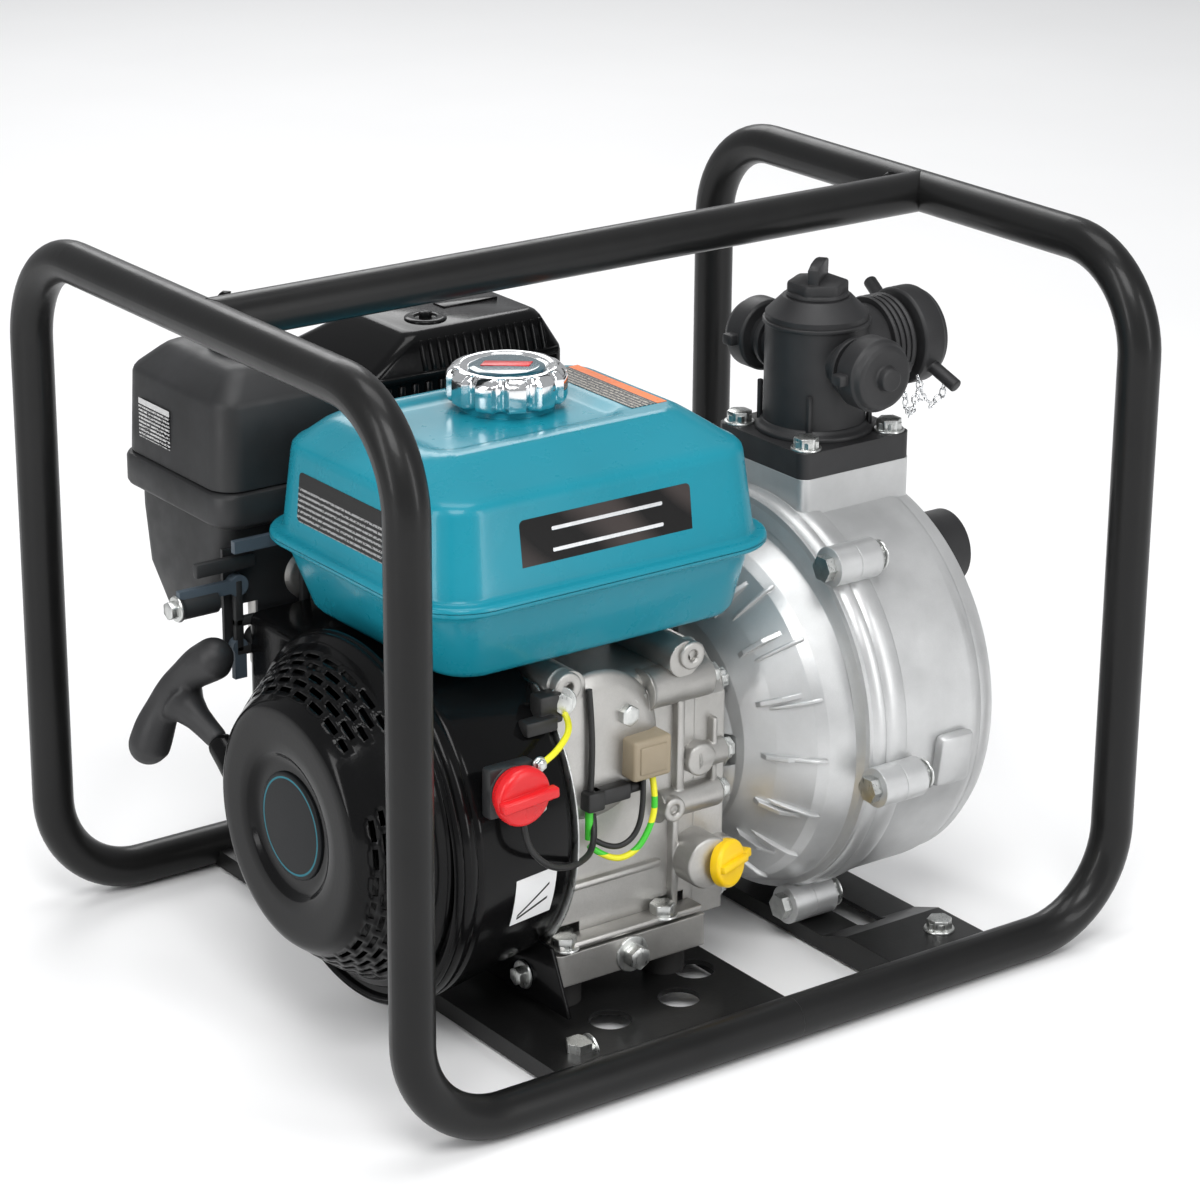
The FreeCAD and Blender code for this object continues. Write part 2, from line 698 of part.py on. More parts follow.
# ---------------------------------------------------------------- moving engine parts
def make_crank():
    web_start = S.cylinder_x + S.rod_thick / 2 + S.side_gap
    far_start = S.cylinder_x - S.rod_thick / 2 - S.side_gap - S.web_thick
    pin_y = crank_y + S.stroke / 2 * math.cos(math.radians(S.cylinder_tilt.value))
    pin_z = crank_z + S.stroke / 2 * math.sin(math.radians(S.cylinder_tilt.value))
    pieces = []
    for start in (far_start, web_start):
        disc = rod("x", (start, crank_y, crank_z), S.web_radius, S.web_thick)
        lobe = rod("x", (start, pin_y, pin_z), S.pin_dia / 2 + 3, S.web_thick)
        pieces.append(fuse(disc, lobe))
    left_end = S.shroud_front + 12
    left = rod("x", (left_end, crank_y, crank_z), S.journal_dia / 2, far_start - left_end)
    right = rod("x", (web_start, crank_y, crank_z), S.journal_dia / 2, S.impeller_x - web_start)
    gear = rod("x", (S.block_right - 14, crank_y, crank_z), S.gear_radius - 0.15, S.gear_width)
    node("crankshaft", group(fuse(left, pieces[0]), fuse(right, pieces[1], gear)))
    cam = fuse(rod("x", (S.block_left + S.bearing_wall + 1, cam_y, cam_z), 8,
                   S.block_right - S.block_left - S.bearing_wall + 5),
               rod("x", (S.block_right - 14, cam_y, cam_z), S.gear_radius * 2 - 0.15, S.gear_width),
               rod("x", (S.cylinder_x - 12, cam_y + 3, cam_z), 9, 9),
               rod("x", (S.cylinder_x + 6, cam_y - 3, cam_z), 9, 9))
    node("camshaft_gear", cam)


def make_piston():
    wrist = S.stroke / 2 + S.rod_length
    skirt = deck - S.piston_height
    outer = rod("z", (0, 0, skirt), S.bore_dia / 2 - S.run_gap, S.piston_height)
    hollow = rod("z", (0, 0, skirt - 1), S.bore_dia / 2 - 6, S.piston_height - S.crown_thick + 1)
    pin = rod("x", (-S.bore_dia / 2 + 3, 0, wrist), S.wrist_dia / 2, S.bore_dia - 6)
    node("piston", on_cylinder_axis(fuse(cut(outer, hollow), pin)))
    half = S.rod_thick / 2
    big = rod("x", (-half, 0, S.stroke / 2), S.pin_dia / 2 + 5, S.rod_thick)
    small = rod("x", (-half, 0, wrist), S.wrist_dia / 2 + 4, S.rod_thick)
    shank = block(-6, 6, -8, 8, S.stroke / 2, wrist)
    eyes = [rod("x", (-half - 1, 0, S.stroke / 2), S.pin_dia / 2 + S.run_gap, S.rod_thick + 2),
            rod("x", (-half - 1, 0, wrist), S.wrist_dia / 2 + S.run_gap, S.rod_thick + 2)]
    node("connecting_rod", on_cylinder_axis(cut(fuse(big, small, shank), *eyes)))


def make_flywheel():
    disc = rod("x", (S.fan_disc_x, crank_y, crank_z), S.fan_radius - 2, S.fan_disc_thick)
    hub = rod("x", (S.fan_disc_x - S.blade_depth, crank_y, crank_z), 26, S.blade_depth + 1)
    bore = rod("x", (S.fan_disc_x - S.blade_depth - 1, crank_y, crank_z), S.journal_dia / 2, 80)
    blades = []
    count = 12
    for i in range(count):
        blade = doc.addObject("Part::Box", "Blade")
        bind(blade, "Length", S.blade_depth + 1)
        bind(blade, "Width", S.blade_thick)
        bind(blade, "Height", S.fan_radius - 46)
        turn = FreeCAD.Rotation(FreeCAD.Vector(1, 0, 0), 360.0 / count * i)
        corner = turn.multVec(FreeCAD.Vector(0, -S.blade_thick.value / 2, 46))
        spot = FreeCAD.Vector((S.fan_disc_x - S.blade_depth).value, crank_y.value, crank_z.value) + corner
        blade.Placement = FreeCAD.Placement(spot, turn)
        blades.append(blade)
    node("flywheel_fan", cut(fuse(disc, hub, *blades), bore))


# ---------------------------------------------------------------- blower housing and recoil starter
def shroud_body(wall):
    """The snail of the blower housing, drawn in by a wall."""
    length = S.shroud_back - S.shroud_front + 2
    snail = taper("x", (S.shroud_front + wall, crank_y, S.shroud_z), S.shroud_front_r - wall,
                  S.shroud_back_r - wall, length if wall else S.shroud_back - S.shroud_front)
    duct = block(S.shroud_front + wall, S.shroud_back + (2 if wall else 0), crank_y, S.duct_back - wall,
                 S.duct_floor + wall, S.shroud_top - wall)
    keep = block(S.shroud_front - 5, S.shroud_back + 5, -200, 200, 0, S.shroud_top - wall)
    return common(fuse(snail, duct), keep)


def make_shroud():
    mouth = rod("x", (S.shroud_front - 1, crank_y, crank_z), S.fan_radius + 2, 6)
    node("blower_housing", cut(shroud_body(0), shroud_body(S.press_wall), mouth))
    baffle = block(S.shroud_back + 0.2, S.shroud_back + 1.7, crank_y - 96, crank_y + 60, base_z + 24, 196)
    hole = rod("x", (S.shroud_back - 1, crank_y, crank_z), 40, 6)
    node("baffle_plate", cut(baffle, hole))


def make_recoil():
    """Recoil starter cover with air slots, its reel, rope and T grip."""
    depth = S.shroud_front - S.recoil_face
    wall = 2.5
    along_rope = FreeCAD.Rotation(FreeCAD.Vector(0, 0, 1), rope_dir)
    outer = taper("x", (S.recoil_face, crank_y, crank_z), S.recoil_face_r, S.recoil_rim_r - 4, depth)
    inner = taper("x", (S.recoil_face + wall, crank_y, crank_z), S.recoil_face_r - wall,
                  S.recoil_rim_r - 4 - wall, depth)
    post = rod("x", (S.recoil_face + 1, crank_y, crank_z), 8, 30)
    keep = block(S.recoil_face - 1, S.shroud_front, -200, 200, 0, S.shroud_top + 18)
    slots = []
    count = 20
    for i in range(count):
        slot = doc.addObject("Part::Box", "Slot")
        slot.Length = 22
        slot.Width = 7
        slot.Height = 60
        turn = FreeCAD.Rotation(FreeCAD.Vector(1, 0, 0), 360.0 / count * (i + 0.5))
        corner = turn.multVec(FreeCAD.Vector(0, -3.5, 66))
        spot = FreeCAD.Vector(S.recoil_face.value + 16, crank_y.value, crank_z.value) + corner
        slot.Placement = FreeCAD.Placement(spot, turn)
        slots.append(slot)
    spout = doc.addObject("Part::Cylinder", "Spout")
    spout.Radius = 7
    spout.Height = 22
    spout.Placement = FreeCAD.Placement(guide_spot - rope_dir * 20, along_rope)
    passage = doc.addObject("Part::Cylinder", "Passage")
    bind(passage, "Radius", S.rope_dia / 2 + 0.5)
    passage.Height = 60
    passage.Placement = FreeCAD.Placement(guide_spot - rope_dir * 50, along_rope)
    shell = fuse(common(cut(outer, inner, *slots), keep), spout, post)
    node("recoil_housing", cut(shell, passage))
    half = S.rope_dia / 2 + 0.4
    reel = turned("x", (S.reel_x, crank_y, crank_z), [
        (-half - 3, 8 + S.run_gap), (-half - 3, S.reel_flange_r), (-half, S.reel_flange_r),
        (-half, S.reel_groove_r - 0.4), (half, S.reel_groove_r - 0.4), (half, S.reel_flange_r),
        (half + 3, S.reel_flange_r), (half + 3, 8 + S.run_gap)])
    node("recoil_reel", reel)
    start = rope_touch - rope_dir * (S.handle_travel.value - 20)
    length = (guide_spot - start).Length + 14
    rope = doc.addObject("Part::Cylinder", "Rope")
    bind(rope, "Radius", S.rope_dia / 2)
    rope.Height = length
    rope.Placement = FreeCAD.Placement(start, along_rope)
    node("starter_rope", rope)
    neck_start = guide_spot + rope_dir * 3
    across = FreeCAD.Vector(-0.2, 0.76, -0.62).normalize()
    middle = neck_start + rope_dir * 30 + FreeCAD.Vector(-8, 0, 0)
    grip = doc.addObject("Part::Cylinder", "Grip")
    bind(grip, "Radius", S.grip_radius)
    bind(grip, "Height", S.grip_length - 2 * S.grip_radius)
    reach = (S.grip_length / 2 - S.grip_radius).value
    along_grip = FreeCAD.Rotation(FreeCAD.Vector(0, 0, 1), across)
    grip.Placement = FreeCAD.Placement(middle - across * reach, along_grip)
    ends = []
    for side in (-1, 1):
        ball = doc.addObject("Part::Sphere", "Ball")
        bind(ball, "Radius", S.grip_radius)
        ball.Placement = FreeCAD.Placement(middle + across * (side * reach), FreeCAD.Rotation())
        ends.append(ball)
    neck = doc.addObject("Part::Cone", "Neck")
    neck.Radius1 = 6.5
    neck.Radius2 = 9.5
    neck.Height = 28
    neck.Placement = FreeCAD.Placement(neck_start, along_rope)
    rope_hole = doc.addObject("Part::Cylinder", "RopeHole")
    bind(rope_hole, "Radius", S.rope_dia / 2)
    rope_hole.Height = 12
    rope_hole.Placement = FreeCAD.Placement(neck_start - rope_dir, along_rope)
    node("recoil_handle", cut(fuse(grip, neck, *ends), rope_hole))


# ---------------------------------------------------------------- tank, air cleaner, carburettor, muffler
def tank_levels():
    left, right, front, back, corner = S.tank_left, S.tank_right, S.tank_front, S.tank_back, S.tank_corner
    return [(S.tank_lip_z, left, right, front, back, corner),
            (S.tank_shoulder_z, left + 3, right - 3, front + 9, back - 4, corner - 2),
            (S.tank_top - 6, left + 22, right - 22, front + 42, back - 14, corner - 6),
            (S.tank_top, left + 30, right - 30, front + 54, back - 24, corner - 10)]


def make_tank():
    """Two pressed halves that meet at a rolled lip."""
    outer = pressed(tank_levels())
    inner = pressed(tank_levels(), S.tank_wall.value, -1, S.tank_wall.value)
    lip = [(S.tank_lip_z, S.tank_left - S.tank_lip, S.tank_right + S.tank_lip, S.tank_front - S.tank_lip,
            S.tank_back + S.tank_lip, S.tank_corner + S.tank_lip)]
    upper_lip = pressed([lip[0], (S.tank_lip_z + 2,) + lip[0][1:]])
    filler = Part.makeCylinder(S.filler_radius.value, 60, vector((S.fuel_cap_x, S.fuel_cap_y, 300)))
    neck = Part.makeCylinder(S.filler_radius.value + 1.6, 12,
                             vector((S.fuel_cap_x, S.fuel_cap_y, S.tank_top - 3)))
    shell = outer.fuse([upper_lip, neck]).cut([inner, filler])
    node("tank_upper", shaped(shell.removeSplitter()))
    low = [(S.tank_floor, S.tank_left + 24, S.tank_right - 13, S.tank_front + 22, S.tank_back - 22,
            S.tank_corner - 10),
           (S.tank_floor + 6, S.tank_left + 14, S.tank_right - 9, S.tank_front + 12, S.tank_back - 12,
            S.tank_corner - 6),
           (S.tank_lip_z, S.tank_left + 2, S.tank_right - 2, S.tank_front + 2, S.tank_back - 2,
            S.tank_corner)]
    hollow = pressed(low, S.tank_wall.value, S.tank_wall.value, -1)
    lower_lip = pressed([(S.tank_lip_z - 2,) + lip[0][1:], lip[0]])
    node("tank_lower", shaped(pressed(low).fuse(lower_lip).cut(hollow)))
    cap = turned("z", (S.fuel_cap_x, S.fuel_cap_y, S.tank_top), [
        (0.6, S.filler_radius + 2), (0.6, S.fuel_cap_r), (19, S.fuel_cap_r), (23, S.fuel_cap_r - 7),
        (23, 0), (14, 0), (14, S.filler_radius + 2)])
    node("fuel_cap", cap)


def make_air_cleaner():
    left, right, front, back = S.filter_left, S.filter_right, S.filter_front, S.filter_back
    cover = [(S.filter_split_z, left, right, front, back, 14),
             (S.filter_top - 22, left + 2, right - 2, front + 2, back - 2, 14),
             (S.filter_top - 4, left + 20, right - 14, front + 18, back - 22, 12),
             (S.filter_top, left + 26, right - 20, front + 24, back - 28, 10)]
    inner = pressed(cover, S.filter_wall.value, -1, S.filter_wall.value)
    stud_x = (S.filter_left + S.filter_right) / 2
    stud_y = (S.filter_front + S.filter_back) / 2
    stud_hole = Part.makeCylinder(3.3, 40, vector((stud_x, stud_y, S.filter_top - 20)))
    node("air_cleaner_cover", shaped(pressed(cover).cut([inner, stud_hole])))
    belt = [(S.filter_belt_z - 6, left + 4, right - 4, front + 4, back - 4, 14),
            (S.filter_belt_z, left - 3, right + 3, front - 3, back + 1, 16),
            (S.filter_split_z, left - 3, right + 3, front - 3, back + 1, 16)]
    horn = [(S.filter_belt_z - 74, left + 10, left + 38, front + 58, back - 30, 10),
            (S.filter_belt_z - 50, left + 5, left + 40, front + 26, back - 14, 12),
            (S.filter_belt_z - 16, left + 5, left + 40, front + 12, back - 7, 12),
            (S.filter_belt_z - 5, left + 5, right - 8, front + 10, back - 6, 14)]
    stud = Part.makeCylinder(3, 91, vector((stud_x, stud_y, S.filter_split_z - 19)))
    strap = Part.makeBox((right - left).value, 9, 4, vector((left, stud_y - 4.5, S.filter_split_z - 19)))
    hollow = pressed(belt, S.filter_wall.value, 3, -1)
    bore = pressed(horn, 3.0, 3, -20)
    tub = pressed(belt).fuse(pressed(horn)).cut([hollow, bore])
    node("air_cleaner_base", shaped(tub.fuse([stud, strap])))
    element = pressed([(S.filter_split_z - 14, left + 16, right - 16, front + 16, back - 26, 14),
                       (S.filter_top - 30, left + 16, right - 16, front + 16, back - 26, 14)])
    core = Part.makeCylinder(20, 80, vector((stud_x, stud_y, S.filter_split_z - 18)))
    node("filter_element", shaped(element.cut(core)))
    knob = turned("z", (stud_x, stud_y, S.filter_top + 0.3), [
        (0, 3.1), (0, 19), (8, 17), (10, 12), (10, 0), (7, 0), (7, 3.1)])
    node("air_cleaner_knob", knob)


carb_left = S.filter_left + 40.3
carb_y = S.duct_back + 34
carb_z = 236.0
head_left = S.cylinder_x - S.fin_side


def make_carburettor():
    """Carburettor with its float bowl, the spacer to the head, control plate and three levers."""
    spacer_left = head_left - 12
    body = rod("x", (carb_left, carb_y, carb_z), 17, spacer_left - carb_left)
    bowl = rod("z", (carb_left + 24, carb_y, 184), 19, 34)
    nut = hexagon("z", (carb_left + 24, carb_y, 177), 14, 8)
    tap = rod("z", (carb_left + 4, carb_y - 6, 186), 9, 36)
    tap_arm = block(carb_left, carb_left + 24, carb_y - 12, carb_y, 206, 220)
    throat = rod("x", (carb_left - 1, carb_y, carb_z), 11, 80)
    flange = block(spacer_left - 7, spacer_left, carb_y - 27, carb_y + 27, carb_z - 18, carb_z + 18)
    stem = rod("z", (carb_left + 24, carb_y, 217), 13, 8)
    node("carburetor", cut(fuse(body, bowl, nut, tap, tap_arm, flange, stem), throat))
    spacer = block(spacer_left + 0.2, head_left - 0.2, carb_y - 27, carb_y + 27, carb_z - 18, carb_z + 18)
    spacer_throat = rod("x", (spacer_left - 1, carb_y, carb_z), 11, 14)
    node("carb_spacer", cut(spacer, spacer_throat))
    plate_y = S.duct_back + 3
    plate = block(S.filter_left + 3, head_left - 3, plate_y, plate_y + 2.5, 196, 262)
    windows = [block(S.filter_left + 10, S.filter_left + 26, plate_y - 1, plate_y + 4, 206, 226),
               rod("y", (carb_left + 24, plate_y - 1, carb_z), 18, 5),
               block(carb_left + 8, carb_left + 42, plate_y - 1, plate_y + 4, 200, 214)]
    node("control_plate", cut(plate, *windows))
    lever_x = S.filter_left + 10
    near = plate_y - 6.3
    choke = fuse(rod("y", (lever_x, near, 240), 6.5, 6),
                 block(lever_x - 40, lever_x, near, near + 4, 236, 244))
    node("choke_lever", choke)
    tap_lever = fuse(rod("y", (lever_x, near, 202), 5, 6),
                     block(lever_x - 4, lever_x + 4, near, near + 4, 182, 202))
    node("fuel_tap_lever", tap_lever)
    far = near - 6.3
    hub = rod("y", (head_left - 12, far, 250), 7, 12.3)
    arm = block(S.filter_left + 4, head_left - 12, far, far + 4, 262.5, 270)
    riser = block(head_left - 18, head_left - 8, far, far + 4, 250, 270)
    node("throttle_lever", fuse(hub, arm, riser))


def make_muffler():
    drum_y = (S.guard_front + S.guard_back) / 2
    drum_z = (S.guard_floor + S.guard_top) / 2
    middle = (S.guard_left + S.guard_right) / 2
    drum = rod("x", (middle - S.muffler_length / 2, drum_y, drum_z), S.muffler_radius, S.muffler_length)
    hollow = rod("x", (middle - S.muffler_length / 2 + 2, drum_y, drum_z), S.muffler_radius - 2,
                 S.muffler_length - 4)
    pipe = rod("z", (S.cylinder_x + 41, drum_y, S.guard_floor - 24), 13, 40)
    pipe_hole = rod("z", (S.cylinder_x + 41, drum_y, S.guard_floor - 25), 10, 42)
    node("muffler", cut(fuse(drum, pipe), hollow, pipe_hole))
    left, right, front, back = S.guard_left, S.guard_right, S.guard_front, S.guard_back
    levels = [(S.guard_floor, left, right, front, back, 6),
              (S.guard_top - 24, left, right, front, back, 6),
              (S.guard_top, left + 34, right - 12, front + 8, back - 26, 6)]
    shell = pressed(levels).cut(pressed(levels, S.press_wall.value, -1, S.press_wall.value))
    slots = []
    for i in range(9):
        slot_x = left.value + 14 + i * 13
        slot_corner = FreeCAD.Vector(slot_x, front.value - 6, S.guard_floor.value + 14)
        slots.append(Part.makeBox(7, 12, 34, slot_corner))
    node("muffler_guard", shaped(shell.cut(slots)))


# ---------------------------------------------------------------- electrics
switch_x = -158.0
switch_z = 180.0


def make_electrics():
    """Engine switch on the blower housing, oil alert unit and the wires that join them."""
    body = block(switch_x - 13, switch_x + 13, -157, -148.5, switch_z - 13, switch_z + 13)
    node("switch_body", body)
    stem = rod("y", (switch_x, -170, switch_z), 13, 12.7)
    wing = block(switch_x - 18, switch_x + 18, -174, -166, switch_z - 3, switch_z + 3)
    node("switch_knob", fuse(stem, wing))
    box = block(-54, -28, -130, S.block_front - 0.2, 150, 174)
    strap = block(-62, -46, S.block_front - 2.2, S.block_front - 0.2, 170, 200)
    node("oil_alert_unit", fuse(rounded(box, 2, upright), strap))
    routes = [[(-98, -122, 203), (-124, -146, 206), (-149, -153, 194.6)],
              [(-152, -153, 165.4), (-150, -160, 146), (-128, -158, 128), (-104, -150, 122),
               (-97, -134, 119)],
              [(-93, -124, 114), (-76, -126, 108), (-54, -130, 114), (-42, -126, 130), (-41, -122, 149.7)],
              [(-97, -120, 198), (-98, -119, 176), (-96, -119, 150), (-95, -121, 124)]]
    solids = [swept(points, S.wire_dia.value / 2) for points in routes]
    node("engine_wires", shaped(Part.makeCompound(solids)))


# ---------------------------------------------------------------- pump
lug_angles = (50, 130, 188, 246, 294, 352)


def lug_spots():
    """Centres of the bolt lugs around the drum."""
    reach = S.casing_radius + S.lug_reach
    turns = [math.radians(angle) for angle in lug_angles]
    return [(crank_y + reach * math.cos(turn), casing_z + reach * math.sin(turn)) for turn in turns]


def make_bracket():
    """Ribbed adapter between the engine cover and the pump drum."""
    dome_z = crank_z + S.bracket_rise
    dome_r = S.casing_radius - S.bracket_step
    root = taper("x", (cover_end + 2.2, crank_y, crank_z), S.bracket_root_r + 6, S.bracket_root_r + 18, 14)
    dome = turned("x", (0, crank_y, dome_z), [
        (cover_end + 6, 0), (cover_end + 6, S.bracket_root_r), (cover_end + 14, S.bracket_root_r + 20),
        (S.bracket_dome_x - 22, dome_r - 22), (S.bracket_dome_x - 6, dome_r - 4),
        (S.bracket_dome_x, dome_r), (S.joint_x - S.joint_flange, dome_r + 6),
        (S.joint_x - S.joint_flange, 0)])
    flange = rod("x", (S.joint_x - S.joint_flange, crank_y, casing_z), S.casing_radius - 1, S.joint_flange)
    hollow = taper("x", (cover_end + 16, crank_y, dome_z), S.bracket_root_r - 12, dome_r - 30,
                   S.joint_x - S.joint_flange - cover_end - 22)
    shaft = rod("x", (cover_end - 5, crank_y, crank_z), S.bearing_radius - 8, 100)
    lugs = [rod("x", (S.joint_x - 16, y, z), 12, 16) for y, z in lug_spots()]
    holes = [rod("x", (S.joint_x - 20, y, z), 4.3, 30) for y, z in lug_spots()]
    ribs = []
    count = 16
    for i in range(count):
        rib = doc.addObject("Part::Box", "Rib")
        bind(rib, "Length", S.bracket_dome_x - cover_end - 18)
        rib.Width = 3
        bind(rib, "Height", dome_r - 62)
        turn = FreeCAD.Rotation(FreeCAD.Vector(1, 0, 0), 360.0 / count * i)
        corner = turn.multVec(FreeCAD.Vector(0, -1.5, 60))
        spot = FreeCAD.Vector(cover_end.value + 20, crank_y.value, dome_z.value) + corner
        rib.Placement = FreeCAD.Placement(spot, turn)
        ribs.append(rib)
    ring = turned("x", (0, crank_y, dome_z), [
        (cover_end + 12, 0), (cover_end + 12, S.bracket_root_r + 22),
        (S.bracket_dome_x - 20, dome_r - 14), (S.bracket_dome_x + 4, dome_r),
        (S.bracket_dome_x + 4, 0)])
    trimmed = common(fuse(*ribs), ring)
    clear = [rod("x", (S.block_right, y, z), 10, S.cover_thick + 12) for y, z in cover_bolts_at]
    node("pump_bracket", cut(fuse(root, dome, flange, trimmed, *lugs), *([hollow, shaft] + holes + clear)))


def make_casing():
    """Pump drum with a square discharge neck and the suction seat on its end."""
    drum = rod("x", (S.joint_x, crank_y, casing_z), S.casing_radius, S.casing_end_x - S.joint_x)
    drum = rounded(drum, 22, lambda edge: edge.BoundBox.XMin > S.casing_end_x.value - 1
                   and edge.BoundBox.YLength > 100)
    inside = rod("x", (S.joint_x - 1, crank_y, casing_z), S.casing_radius - S.casing_wall,
                 S.casing_end_x - S.joint_x + 1 - S.casing_wall)
    inside = rounded(inside, 17, lambda edge: edge.BoundBox.XMin > S.casing_end_x.value - 10
                     and edge.BoundBox.YLength > 100)
    half = S.neck_side / 2
    neck = block(S.neck_x - half, S.neck_x + half, crank_y - half, crank_y + half, casing_z, S.neck_top)
    neck = rounded(neck, 6, upright)
    throat = block(S.neck_x - half + 8, S.neck_x + half - 8, crank_y - half + 8, crank_y + half - 8,
                   casing_z, S.neck_top + 1)
    seat = rod("x", (S.casing_end_x - 20, crank_y, suction_z), S.suction_flange_r, 20.5)
    port = rod("x", (S.casing_end_x - 40, crank_y, suction_z), S.suction_bore_r + 2, 70)
    lugs = [rod("x", (S.joint_x, y, z), 12, 16) for y, z in lug_spots()]
    holes = [rod("x", (S.joint_x - 20, y, z), 4.3, 60) for y, z in lug_spots()]
    foot = block(S.neck_x - 18, S.neck_x + 18, crank_y - 30, crank_y + 30, casing_z - S.casing_radius - 3,
                 casing_z - S.casing_radius + 6)
    bolt_half = S.manifold_bolts / 2
    taps = [rod("z", (S.neck_x + i * bolt_half, crank_y + j * bolt_half, S.neck_top - 14), 4.1, 20)
            for i in (-1, 1) for j in (-1, 1)]
    pads = [rod("z", (S.neck_x + i * bolt_half, crank_y + j * bolt_half, S.neck_top - 18), 9, 18)
            for i in (-1, 1) for j in (-1, 1)]
    body = cut(fuse(drum, neck, seat, foot, *lugs), inside, throat)
    node("pump_casing", cut(fuse(body, *pads), *([port] + holes + taps)))


def casing_bolts():
    """Through bolts with a nut on the drum side, one for each pair of lugs."""
    bolts = []
    for y, z in lug_spots():
        bolts.append(fuse(rod("x", (S.joint_x - 16, y, z), 4, 36),
                          hexagon("x", (S.joint_x - 22, y, z), S.head_flats, 6),
                          hexagon("x", (S.joint_x + 16, y, z), S.head_flats, 6)))
    return bolts


def make_wet_end():
    """Impeller, volute, shaft seal, casing seal and suction flap."""
    wheel = turned("x", (0, crank_y, crank_z), [
        (S.impeller_x, 0), (S.impeller_x, S.impeller_radius), (S.impeller_x + 3, S.impeller_radius),
        (S.impeller_x + 5, 24), (S.impeller_x + S.impeller_width, 14), (S.impeller_x + S.impeller_width, 0)])
    vanes = []
    count = 5
    for i in range(count):
        vane = doc.addObject("Part::Box", "Vane")
        bind(vane, "Length", S.impeller_width - 3)
        vane.Width = 3.5
        bind(vane, "Height", S.impeller_radius - 16)
        turn = FreeCAD.Rotation(FreeCAD.Vector(1, 0, 0), 360.0 / count * i)
        corner = turn.multVec(FreeCAD.Vector(0, -12, 14))
        spot = FreeCAD.Vector(S.impeller_x.value + 1, crank_y.value, crank_z.value) + corner
        vane.Placement = FreeCAD.Placement(spot, turn)
        vanes.append(vane)
    rim = rod("x", (S.impeller_x, crank_y, crank_z), S.impeller_radius, S.impeller_width)
    node("impeller", fuse(wheel, common(fuse(*vanes), rim)))
    outer = rod("x", (S.joint_x + 4, crank_y, crank_z), S.impeller_radius + 22, 34)
    room = rod("x", (S.joint_x + 3, crank_y, crank_z), S.impeller_radius + 10, 27)
    mouth = rod("x", (S.joint_x + 20, crank_y, crank_z), S.eye_radius, 40)
    outlet = block(S.joint_x + 8, S.joint_x + 26, crank_y - 60, crank_y - 20, crank_z + 40, crank_z + 100)
    node("volute", cut(outer, room, mouth, outlet))
    seat = cut(rod("x", (cover_end + 8, crank_y, crank_z), S.bearing_radius - 8.1, 22),
               rod("x", (cover_end + 7, crank_y, crank_z), S.journal_dia / 2 + S.run_gap, 24))
    node("shaft_seal", seat)
    hinge_z = suction_z + S.suction_bore_r + 8
    flap = rod("x", (S.casing_end_x - 24.2, crank_y, suction_z), S.suction_bore_r + 5, 4)
    ear = block(S.casing_end_x - 24.2, S.casing_end_x - 20.2, crank_y - 9, crank_y + 9, suction_z, hinge_z)
    pin = rod("y", (S.casing_end_x - 22.2, crank_y - 11, hinge_z), 2, 22)
    node("suction_flap", fuse(flap, ear, pin))


def make_ports():
    """Suction port on the drum end: flange, pipe and hose thread."""
    start = S.casing_end_x + 0.5
    flange = rod("x", (start, crank_y, suction_z), S.suction_flange_r, S.suction_flange_thick)
    pipe = rod("x", (start, crank_y, suction_z), S.suction_thread_r, S.suction_end_x - start)
    collar = rod("x", (S.suction_end_x - 26, crank_y, suction_z), S.suction_thread_r + 3, 3)
    bore = rod("x", (start - 2, crank_y, suction_z), S.suction_bore_r, 80)
    node("suction_port", cut(fuse(flange, pipe, collar), bore))


